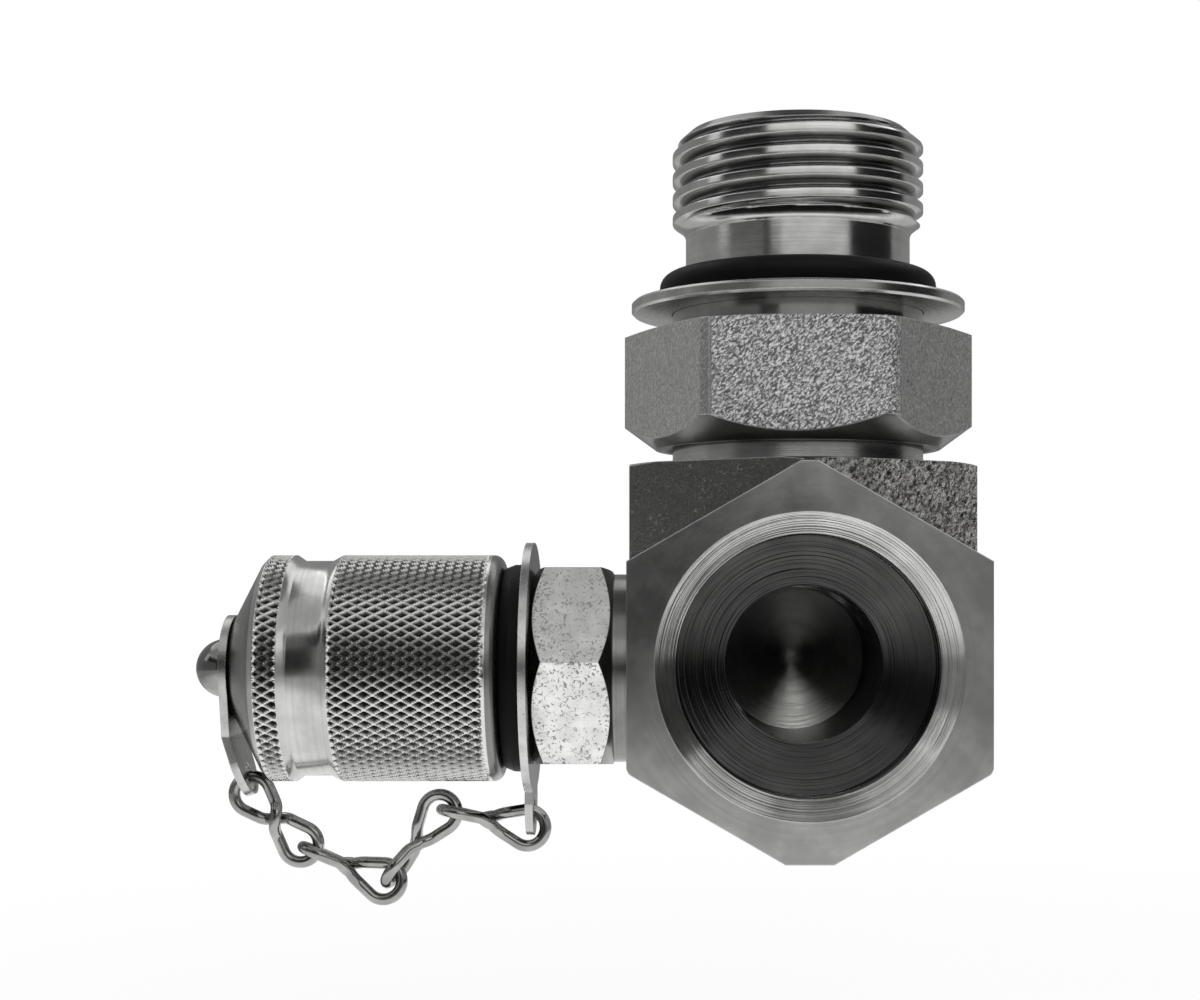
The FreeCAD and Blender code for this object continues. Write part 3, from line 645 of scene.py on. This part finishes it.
def build_materials():
    """All finishes of the adapter, from the settings."""
    settings = bpy.context.scene.adapter_steel
    turned, forged, rubber = tuple(settings.turned), tuple(settings.forged), tuple(settings.rubber)
    GROUPS.update({"Turning Marks": turned_group(), "Forged Grain": grain_group(),
                   "Dark Specks": speck_group(), "Worn Edge": edge_group()})
    MATERIALS.update(
        stud=thread_steel("stud_turned", turned),
        neck=neck_steel("neck_turned", tinted(turned, 0.9)),
        face=turned_steel("port_face_milled", turned, ON_PORT, spacing=0.16, depth=0.0006, rough=0.12),
        mouth=turned_steel("port_mouth", tinted(turned, 1.1), ON_PORT,
                           spacing=0.3, depth=0.03, rough=0.16),
        # painted shade: the port's threads and drilled bore are dark copies of the steel, for the shade inside the
        # hole
        port=turned_steel("port_turned", tinted(turned, 0.12), ON_PORT,
                          spacing=0.3, depth=0.06, rough=0.2),
        bore=turned_steel("bore_drilled", tinted(turned, 0.3), ON_PORT,
                          spacing=0.3, depth=0.03, rough=0.3),
        skin=forged_steel("block_forged", forged),
        slant=speckled_steel("block_flats", tinted(turned, 0.7), 0.3, 0.5, rough=0.28),
        nut=nut_steel("nut_flats", turned),
        washer=turned_steel("washer_satin", tinted(turned, 0.85), ON_STUD, rough=0.24, width=0.1),
        coupling=coupling_steel("coupling_flats", tinted(turned, 1.3)),
        # painted shade: a gain of 0.6 tints the cap's edges dark, as shadow lines at the groove's rims
        cap=turned_steel("cap_turned", tinted(turned, 0.95), ON_TEST, spacing=0.08, rough=0.17, gain=0.6),
        # painted reflection: the cap's rim and end cone are a darker copy of the cap's steel, with dark edges
        rim=turned_steel("cap_rim", tinted(turned, 0.42), ON_TEST, spacing=0.08, rough=0.24, gain=0.8),
        knurl=knurled_steel("cap_knurled", turned, bpy.context.scene.adapter_knurl.depth),
        sheet=speckled_steel("tether_sheet", tinted(turned, 0.85), 0.2, 0.45, rough=0.28),
        ring=ring_steel("tether_ring", tinted(turned, 0.85)),
        bright=drawn_steel("bright_turned", tinted(turned, 0.5), rough=0.16, dirt=0.4),
        wire=drawn_steel("chain_wire", tinted(turned, 0.62), rough=0.12, dirt=0.1),
        rubber=moulded_rubber("nitrile_rubber", rubber),
    )


# Meshes

def dress(name, finish):
    """Give a piece of the solid model its finish."""
    slots = NODES[name].data.materials
    slots.clear()
    slots.append(MATERIALS[finish])


def show(name, mesh, body, slot, *replaced):
    """A finished piece at the origin, riding on its body in place of the solids it stands for."""
    piece = put(name, mesh)
    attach(piece, body)
    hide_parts(*replaced)
    return piece


def mesh_of(work, name):
    mesh = bpy.data.meshes.new(name)
    work.to_mesh(mesh)
    work.free()
    return mesh


def merged_copy(node):
    """A welded copy of a solid's mesh, to cut a thread or a knurl into."""
    work = bmesh.new()
    work.from_mesh(NODES[node].data)
    bmesh.ops.remove_doubles(work, verts=work.verts, dist=WELD)
    bmesh.ops.dissolve_degenerate(work, edges=work.edges, dist=0.5 * WELD)
    return work


def open_band(work, inside):
    """Take out the faces whose middle passes the test."""
    gone = [face for face in work.faces if inside(face.calc_center_median())]
    if not gone:
        raise RuntimeError("no band to set a thread or a knurl into")
    bmesh.ops.delete(work, geom=gone, context="FACES")
    bmesh.ops.delete(work, geom=[v for v in work.verts if not v.link_faces], context="VERTS")


def rims_of(edges):
    """Closed chains of boundary edges, in the mesh's own order, so that each run gives the same faces."""
    left = set(edges)
    chains = []
    while left:
        chain, grow_from = set(), [left.pop()]
        while grow_from:
            edge = grow_from.pop()
            chain.add(edge)
            near = {e for v in edge.verts for e in v.link_edges} & left
            left -= near
            grow_from.extend(near)
        chains.append(sorted(chain, key=lambda e: e.index))
    return sorted(chains, key=lambda chain: chain[0].index)


def rim_centre(chain):
    points = [v.co for e in chain for v in e.verts]
    return sum(points, Vector()) / len(points)


def stitch(work, sleeve, matrix, material_index):
    """Set a sleeve into an open band and join each of its ends to the nearest rim."""
    sleeve.transform(matrix)
    old = {e for e in work.edges if e.is_boundary}
    faces = set(work.faces)
    work.from_mesh(sleeve)
    work.edges.index_update()
    bpy.data.meshes.remove(sleeve)
    new = {e for e in work.edges if e.is_boundary and e not in old}
    for face in work.faces:
        if face not in faces:
            face.material_index = material_index
    body_rims = rims_of(old)
    for ring in rims_of(new):
        centre = rim_centre(ring)
        rim = min(body_rims, key=lambda chain: (rim_centre(chain) - centre).length)
        body_rims.remove(rim)
        for face in bmesh.ops.bridge_loops(work, edges=rim + ring)["faces"]:
            face.material_index = material_index


def finished_mesh(work, name, finishes, sharp=28.0):
    """A mesh with outward faces, smooth inside its surfaces and sharp between them."""
    bmesh.ops.recalc_face_normals(work, faces=work.faces)
    mesh = mesh_of(work, name)
    if "custom_normal" in mesh.attributes:
        mesh.attributes.remove(mesh.attributes["custom_normal"])
    for finish in finishes:
        mesh.materials.append(MATERIALS[finish])
    mesh.polygons.foreach_set("use_smooth", [True] * len(mesh.polygons))
    mesh.set_sharp_from_angle(angle=math.radians(sharp))
    return mesh


def towards(azimuth, elevation):
    """A direction in degrees: 0, 0 points from the object to the side the camera is on."""
    east, up = math.radians(azimuth), math.radians(elevation)
    return Vector((math.sin(east) * math.cos(up), -math.cos(east) * math.cos(up), math.sin(up)))


def glow(tree, tone):
    return add(tree, "ShaderNodeEmission", Color=(tone, tone, tone, 1))


# Pieces

class ADAPTER_OT_stage(bpy.types.Operator):
    """Camera, floor, soft lamps and the dark flags that the steel mirrors"""
    bl_idname = "adapter.stage"
    bl_label = "Stage"

    LAMPS = (  # azimuth, elevation, size, share of the power
        ("lamp_above", 24, 54, 0.26, 0.7),
        ("lamp_left", -128, 30, 0.24, 0.4),
        ("lamp_right", 128, 30, 0.24, 0.4),
    )
    LAMP_DISTANCE = 0.42
    FLOOR_REACH = 2
    CARDS = (  # azimuth from, to, elevation from, to, tone, radius
        ("flag_left", -90, -36, -55, 14.8, 0.2, 0.31),
        ("flag_brown", -36, -18, -55, 14.8, 0.06, 0.30),
        ("flag_left_high", -76, -29, 14.8, 30, 0.01, 0.30),
        ("flag_right", 50, 106, -55, 30, 0.012, 0.30),
        ("flag_middle", -18, 50, 3.5, 14.8, 0.42, 0.32),
        ("flag_middle_low", -18, 50, -9, 3.5, 0.22, 0.32),
        ("flag_camera", -24, 5, -6.5, 3.5, 0.05, 0.28),
        ("flag_low", -24, -12, -21, -6.5, 0.01, 0.28),
        ("flag_high", -90, 106, 34, 66, 0.5, 0.33),
        ("flag_top", -180, 180, 66, 90, 0.15, 0.34),
        ("flag_behind", 106, 270, -20, 40, 0.26, 0.36),
    )
    CAP_CARDS = (  # the same, about the cap
        ("flag_cap", -42, 6, 0, 22, 0.02, 0.05),
        ("flag_cap_high", -42, 6, 22, 38, 0.12, 0.05),
    )
    CARD_COLUMNS, CARD_ROWS = 24, 8

    def execute(self, context):
        scene = context.scene
        settings = scene.adapter_stage
        camera = put("camera", bpy.data.cameras.new("camera"))
        camera.data.lens = settings.lens
        camera.data.sensor_width = 36.0
        camera.data.shift_x = settings.shift_x
        camera.data.shift_y = settings.shift_y
        camera.data.clip_start = 5 * MM
        camera.location = (-settings.side, -settings.distance, TEST_HEIGHT + settings.rise)
        camera.rotation_euler = (RIGHT_ANGLE, 0, 0)
        scene.camera = camera
        scene.view_settings.view_transform = "Standard"
        self.world(scene)
        self.floor(settings)
        self.lamps(settings)
        self.flags()
        return {"FINISHED"}

    def world(self, scene):
        """White where it is seen or mirrored, dimmer as a light."""
        world = bpy.data.worlds.new("studio")
        scene.world = world
        world.use_nodes = True
        tree = world.node_tree
        rays = tree.nodes.new("ShaderNodeLightPath").outputs
        seen = Field(tree, rays["Is Camera Ray"]).high(rays["Is Glossy Ray"])
        background = tree.nodes["Background"]
        background.inputs["Color"].default_value = (1, 1, 1, 1)
        feed(tree, seen.high(rays["Is Transmission Ray"]) * 0.4 + 0.6, background.inputs["Strength"])

    def floor(self, settings):
        """Paper that looks white, takes soft shadows near the piece and is mirrored grey far from it."""
        low = min(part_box("chain_link_%d" % n)[0].z for n in (1, 2, 3, 4)) - settings.floor_drop
        work = bmesh.new()
        work.faces.new([work.verts.new((x * self.FLOOR_REACH, y * self.FLOOR_REACH, low))
                        for x, y in ((-1, -1), (1, -1), (1, 1), (-1, 1))])
        floor = put("floor", mesh_of(work, "floor"))
        finish = Finish("floor_paper", metallic=0.0)
        tree = finish.tree
        finish.end((0.9, 0.9, 0.9), 0.9)
        light = glow(tree, 1)
        rays = tree.nodes.new("ShaderNodeLightPath").outputs
        seen = Field(tree, rays["Is Camera Ray"]).high(rays["Is Glossy Ray"])
        x, y, _ = finish.axes()
        away = across(x, y)
        feed(tree, 1.0 - away.ramp(0.08, 0.15) * rays["Is Glossy Ray"] * 0.5, light.inputs["Strength"])
        mix = tree.nodes.new("ShaderNodeMixShader")
        share = seen * (away.ramp(0.05, 0.16) * 0.08 + 0.92)
        for socket, value in zip(mix.inputs, (share, finish.shader, light)):
            feed(tree, value, socket)
        feed(tree, mix, finish.out)
        floor.data.materials.append(finish.material)

    def lamps(self, settings):
        target = Vector((-12 * MM, 0, TEST_HEIGHT + 20 * MM))
        for name, azimuth, elevation, size, share in self.LAMPS:
            place = self.LAMP_DISTANCE * towards(azimuth, elevation)
            lamp = put(name, bpy.data.lights.new(name, "AREA"))
            lamp.data.size, lamp.data.energy = size, settings.lamp_watts * share
            lamp.location = place + target
            lamp.rotation_mode = "QUATERNION"
            lamp.rotation_quaternion = (-place).to_track_quat("-Z", "Y")
        lamp = put("lamp_bore", bpy.data.lights.new("lamp_bore", "AREA"))
        lamp.data.size, lamp.data.energy = 9 * MM, settings.bore_watts
        lamp.location = (0, 0, STUD_TIP + 2 * MM)

    def flags(self):
        """Black and grey cards round the camera, seen only as reflections."""
        middle = Vector((-5 * MM, 0, TEST_HEIGHT + 18 * MM))
        by_cap = Vector((-36 * MM, -9.5 * MM, TEST_HEIGHT))
        for centre, cards in ((middle, self.CARDS), (by_cap, self.CAP_CARDS)):
            for name, *span, tone, radius in cards:
                card = put(name, mesh_of(self.card(centre, radius, *span), name))
                finish = Finish(name)
                feed(finish.tree, glow(finish.tree, tone), finish.out)
                card.data.materials.append(finish.material)
                card.visible_camera = card.visible_diffuse = False
                card.visible_shadow = card.visible_transmission = False

    def card(self, centre, radius, west, east, low, high):
        """Part of a sphere about a centre."""
        work = bmesh.new()
        grid = [[work.verts.new(centre + radius * towards(west + (east - west) * c / self.CARD_COLUMNS,
                                                          low + (high - low) * r / self.CARD_ROWS))
                 for r in range(self.CARD_ROWS + 1)] for c in range(self.CARD_COLUMNS + 1)]
        for near, far in zip(grid, grid[1:]):
            for r in range(self.CARD_ROWS):
                work.faces.new((near[r], far[r], far[r + 1], near[r + 1]))
        bmesh.ops.remove_doubles(work, verts=work.verts, dist=0.01 * MM)
        return work


class ADAPTER_OT_block(bpy.types.Operator):
    """Elbow body with its cut threads"""
    bl_idname = "adapter.block"
    bl_label = "Block and Stud"

    FINISHES = ("skin", "stud", "face", "port", "slant", "neck", "mouth", "bore")
    ORIGIN = 42.55 * MM  # of the frame, above the test point's axis
    FLARE = 38.0 * MM  # end of the undercut, above the same axis
    LAND = 38.95 * MM  # start of the full thread
    CORE = 9.3 * MM  # the stud's thread lies outside this radius
    UNDERCUT, TIP = 9.93 * MM, 9.65 * MM  # radii that the stud's thread runs out to
    MOUTH = 1.7 * MM  # depth of the port's chamfered mouth
    THREAD = 3.6 * MM  # length of the port's thread
    PORT = 10.75 * MM  # radius over the crests of the port's thread
    PORT_SIDE = 11.2 * MM  # the port's thread lies inside this radius
    RELIEF = 0.01 * MM

    def execute(self, context):
        thread = context.scene.adapter_thread
        work = merged_copy("elbow_body")
        index = self.FINISHES.index
        for face in work.faces:
            face.material_index = index(self.zone(face))
        flare, tip = self.FLARE - self.ORIGIN, STUD_TIP
        open_band(work, lambda p: flare + GAP < p.z < tip - GAP and math.hypot(p.x, p.y) > self.CORE)
        tube = grow(TREES["thread"], pitch=thread.pitch, inner_radius=thread.root, outer_radius=thread.crest,
                    bottom=flare + LEAD, top=tip - LEAD, bottom_radius=self.UNDERCUT, top_radius=self.TIP,
                    bottom_slope=0.15, bottom_hollow=720.0, top_slope=1.14, turns=8, start=0.18,
                    plain_land=self.LAND - self.ORIGIN, columns=thread.columns, material=MATERIALS["stud"])
        stitch(work, tube, Matrix(), index("stud"))
        mouth = PORT_FACE + self.MOUTH
        deep = mouth + self.THREAD
        open_band(work, lambda p: mouth + GAP < p.y < deep - GAP
                  and math.hypot(p.x, p.z - PORT_HEIGHT) < self.PORT_SIDE)
        ends = self.PORT - self.RELIEF
        tube = grow(TREES["thread"], pitch=thread.pitch, inner_radius=self.PORT,
                    outer_radius=thread.port_root, bottom=LEAD, top=self.THREAD - LEAD, bottom_radius=ends,
                    top_radius=ends, bottom_slope=0.9, top_slope=0.9, turns=5, columns=thread.columns,
                    material=MATERIALS["port"])
        stitch(work, tube, Matrix.Translation((0, mouth, PORT_HEIGHT)) @ ALONG_Y, index("port"))
        mesh = finished_mesh(work, "block_and_stud", self.FINISHES)
        show("block_and_stud", mesh, "root", "block_steel", "elbow_body")
        return {"FINISHED"}

    def zone(self, face):
        """Which finish a face of the block takes."""
        middle, normal = face.calc_center_median(), face.normal
        height, depth = middle.z - TEST_HEIGHT, middle.y - PORT_FACE
        from_stud = math.hypot(middle.x, middle.y)
        from_port = math.hypot(middle.x, middle.z - PORT_HEIGHT)
        in_mouth = from_port < 12.6 * MM
        if height > 17.15 * MM and from_stud > 5.0 * MM:
            return "neck" if height < 32.0 * MM else "stud"
        if normal.y < -0.98 and depth < 0.01 * MM:
            return "face"
        if in_mouth and depth < 1.72 * MM:
            return "mouth"
        if from_port < 6.7 * MM and depth > 7.8 * MM and middle.y < 15.0 * MM:
            return "bore"
        if in_mouth and middle.y < 15.0 * MM or from_stud < 6.4 * MM:
            return "port"
        return "slant" if abs(normal.x) > 0.2 and abs(normal.z) > 0.2 else "skin"


class Dressing:
    """For operators that only give pieces of the solid model their finish"""

    def execute(self, context):
        for name, finish in self.PIECES.items():
            dress(name, finish)
        return {"FINISHED"}


class ADAPTER_OT_nut(Dressing, bpy.types.Operator):
    """Lock nut and backup washer"""
    bl_idname = "adapter.nut"
    bl_label = "Nut and Washer"
    PIECES = {"lock_nut": "nut", "backup_washer": "washer"}


class ADAPTER_OT_rubber(Dressing, bpy.types.Operator):
    """O-ring, dust ring, seals and gasket"""
    bl_idname = "adapter.rubber"
    bl_label = "Rubber Rings"
    PIECES = dict.fromkeys(
        ("stud_o_ring", "dust_ring", "coupling_seal", "poppet_seal", "cap_gasket"), "rubber")


class ADAPTER_OT_test_point(bpy.types.Operator):
    """Test point and its check valve, with the spring as a piece of its own"""
    bl_idname = "adapter.test_point"
    bl_label = "Test Point"

    def execute(self, context):
        dress("test_coupling", "coupling")
        for name in ("valve_poppet", "spring_retainer"):
            dress(name, "bright")
        mesh = NODES["valve_spring"].data.copy()
        mesh.materials.clear()
        mesh.materials.append(MATERIALS["bright"])
        spring = show("valve_spring_coil", mesh, "root", "spring_steel", "valve_spring")
        joints = {joint["name"]: joint for joint in frame["record"]["behaviour"]["joints"]}
        push = joints["valve_push"]
        fixed = push["deforming_nodes"][0]["fixed_end_x_m"]
        length = max(abs(corner.x - fixed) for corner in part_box("valve_spring"))
        1.0 - push["range_m"][1] / length
        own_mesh(spring)
        return {"FINISHED"}


class ADAPTER_OT_cap(bpy.types.Operator):
    """Screw cap with its two knurled bands"""
    bl_idname = "adapter.cap"
    bl_label = "Knurled Cap"

    FINISHES = ("cap", "knurl", "rim")
    BARREL = (1.15 * MM, 14.175 * MM)  # the barrel's knurl, from the cap's rim
    REAR = (0.5 * MM, 2.5 * MM)  # the rear knurl, from the cone
    CONE = 2.8 * MM  # length of the cone at the cap's end
    CORE = 9.85 * MM  # the knurls lie outside this radius
    SLACK = 0.05 * MM

    def execute(self, context):
        knurl = context.scene.adapter_knurl
        work = merged_copy("cap_shell")
        rim, cone = CAP_HIGH.x, CAP_LOW.x + self.CONE
        for face in work.faces:
            along = face.calc_center_median().x
            # the rim and the end cone take the darker rim finish, a painted dark reflection
            dark = along > rim - self.BARREL[0] + self.SLACK or along < cone - self.SLACK
            face.material_index = self.FINISHES.index("rim" if dark else "cap")
        bands = ((rim - self.BARREL[1], rim - self.BARREL[0]), (cone + self.REAR[0], cone + self.REAR[1]))
        for low, high in bands:
            open_band(work, lambda p: low + GAP < p.x < high - GAP
                      and math.hypot(p.y, p.z - TEST_HEIGHT) > self.CORE)
            length = high - low - 2 * GAP
            rows = math.ceil(length / knurl.pitch * KNURL_STEPS)
            band = grow(TREES["knurl"], radius=CAP_RADIUS, depth=knurl.depth, axial_pitch=knurl.pitch,
                        length=length, teeth=knurl.teeth, rows=rows, material=MATERIALS["knurl"])
            place = Matrix.Translation((low + GAP, 0, TEST_HEIGHT)) @ ALONG_X
            stitch(work, band, place, self.FINISHES.index("knurl"))
        mesh = finished_mesh(work, "knurled_cap", self.FINISHES, sharp=34.0)
        show("knurled_cap", mesh, "cap", "cap_steel", "cap_shell")
        dress("cap_rivet", "bright")
        return {"FINISHED"}


class ADAPTER_OT_tether(Dressing, bpy.types.Operator):
    """Ring washer with its tab, and the strap on the cap"""
    bl_idname = "adapter.tether"
    bl_label = "Ring and Strap"
    PIECES = {"chain_ring": "ring", "cap_strap": "sheet"}


class ADAPTER_OT_chain(bpy.types.Operator):
    """Four figure-8 wire links"""
    bl_idname = "adapter.chain"
    bl_label = "Wire Chain"

    LINKS = ((0, 180), (82, 90), (78, 90), (84, 90))  # degrees: roll of the first eye, twist of the strands
    SLOPES = (-46.0, -12.0)  # degrees: the links that hang from the strap and from the tab
    PITCH = 8.1 * MM  # from link to link
    HALF = 4.675 * MM  # from the middle of a link to the end of its centre line
    TWIST = 1.2 * MM  # half the length over which the strands twist
    STRAIGHT_STEPS, EYE_STEPS, SIDES = 10, 16, 16

    def execute(self, context):
        chain = context.scene.adapter_chain
        for number, (roll, twist) in enumerate(self.LINKS, start=1):
            start, along = self.place(number)
            line = self.line(chain, math.radians(roll), math.radians(twist))
            mesh = grow(TREES["wire"], line, diameter=chain.wire, sides=self.SIDES,
                        material=MATERIALS["wire"])
            bpy.data.meshes.remove(line)
            turn = Matrix.Rotation(-math.atan2(along.z, along.x), 4, "Y")
            mesh.transform(Matrix.Translation(start) @ turn)
            mesh.polygons.foreach_set("use_smooth", [True] * len(mesh.polygons))
            show("wire_link_%d" % number, mesh, "link_%d" % number, "chain_steel", "chain_link_%d" % number)
        return {"FINISHED"}

    def place(self, number):
        """Where a link starts, and its direction in the chain's plane."""
        joints = {joint["name"]: Vector(joint["pos_m"]) for joint in frame["joints"] if "pos_m" in joint}
        second, fourth = joints["link_1_2"], joints["link_4_3"]
        leave, arrive = (Vector((math.cos(a), 0, math.sin(a))) for a in map(math.radians, self.SLOPES))
        half = (fourth - second) * 0.5
        down = Vector((half.z, 0, -half.x)).normalized()
        third = second + half + down * math.sqrt(self.PITCH ** 2 - half.length_squared)
        starts = (second - leave * self.PITCH, second, third, fourth, fourth + arrive)
        return starts[number - 1], starts[number] - starts[number - 1]

    def line(self, chain, roll, twist):
        """The closed centre line of a figure-8 link along X: two strands that cross at the waist."""
        middle = self.HALF - chain.eye
        reach = math.hypot(middle, chain.waist)
        lean = math.asin(chain.eye / reach) - math.atan2(chain.waist, middle)
        touch = middle - chain.eye * math.sin(lean)
        half = []
        for k in range(self.STRAIGHT_STEPS):
            x = touch * k / self.STRAIGHT_STEPS
            half.append((x, chain.waist + x * math.tan(lean)))
        for k in range(self.EYE_STEPS + 1):
            angle = (RIGHT_ANGLE + lean) * (1 - k / self.EYE_STEPS)
            half.append((middle + chain.eye * math.cos(angle), chain.eye * math.sin(angle)))
        strand = [(-x, r) for x, r in reversed(half[1:])] + half
        points = []
        for first, side in ((0.0, strand[:-1]), (math.pi, strand[:0:-1])):
            for x, r in side:
                share = min(1.0, max(0.0, (x + self.TWIST) / (2 * self.TWIST)))
                angle = RIGHT_ANGLE + roll + first + twist * share * share * (3 - 2 * share)
                points.append((x + self.HALF, r * math.cos(angle), r * math.sin(angle)))
        mesh = bpy.data.meshes.new("wire_line")
        mesh.from_pydata(points, [(k, (k + 1) % len(points)) for k in range(len(points))], [])
        return mesh


class ADAPTER_PT_pieces(bpy.types.Panel):
    """Lists the pieces and their settings"""
    bl_label = "Hydraulic Adapter"
    bl_space_type = "VIEW_3D"
    bl_region_type = "UI"
    bl_category = "Adapter"

    def draw(self, context):
        for operator in OPERATORS:
            self.layout.operator(operator.bl_idname)
        for name, settings in SETTINGS.items():
            box = self.layout.box()
            for field in settings.__annotations__:
                box.prop(getattr(context.scene, name), field)


OPERATORS = (ADAPTER_OT_stage, ADAPTER_OT_block, ADAPTER_OT_nut, ADAPTER_OT_rubber, ADAPTER_OT_test_point,
             ADAPTER_OT_cap, ADAPTER_OT_tether, ADAPTER_OT_chain)
CLASSES = (*SETTINGS.values(), *OPERATORS, ADAPTER_PT_pieces)


def register():
    for entry in CLASSES:
        bpy.utils.register_class(entry)
    for name, settings in SETTINGS.items():
        setattr(bpy.types.Scene, name, PointerProperty(type=settings))


def unregister():
    for name in SETTINGS:
        delattr(bpy.types.Scene, name)
    for entry in reversed(CLASSES):
        bpy.utils.unregister_class(entry)


def main():
    register()
    build_materials()
    TREES.update(thread=thread_tree(), knurl=knurl_tree(), wire=wire_tree())
    bpy.ops.adapter.stage()
    bpy.ops.adapter.block()
    bpy.ops.adapter.nut()
    bpy.ops.adapter.rubber()
    bpy.ops.adapter.test_point()
    bpy.ops.adapter.cap()
    bpy.ops.adapter.tether()
    bpy.ops.adapter.chain()


if __name__ == "__main__":
    main()
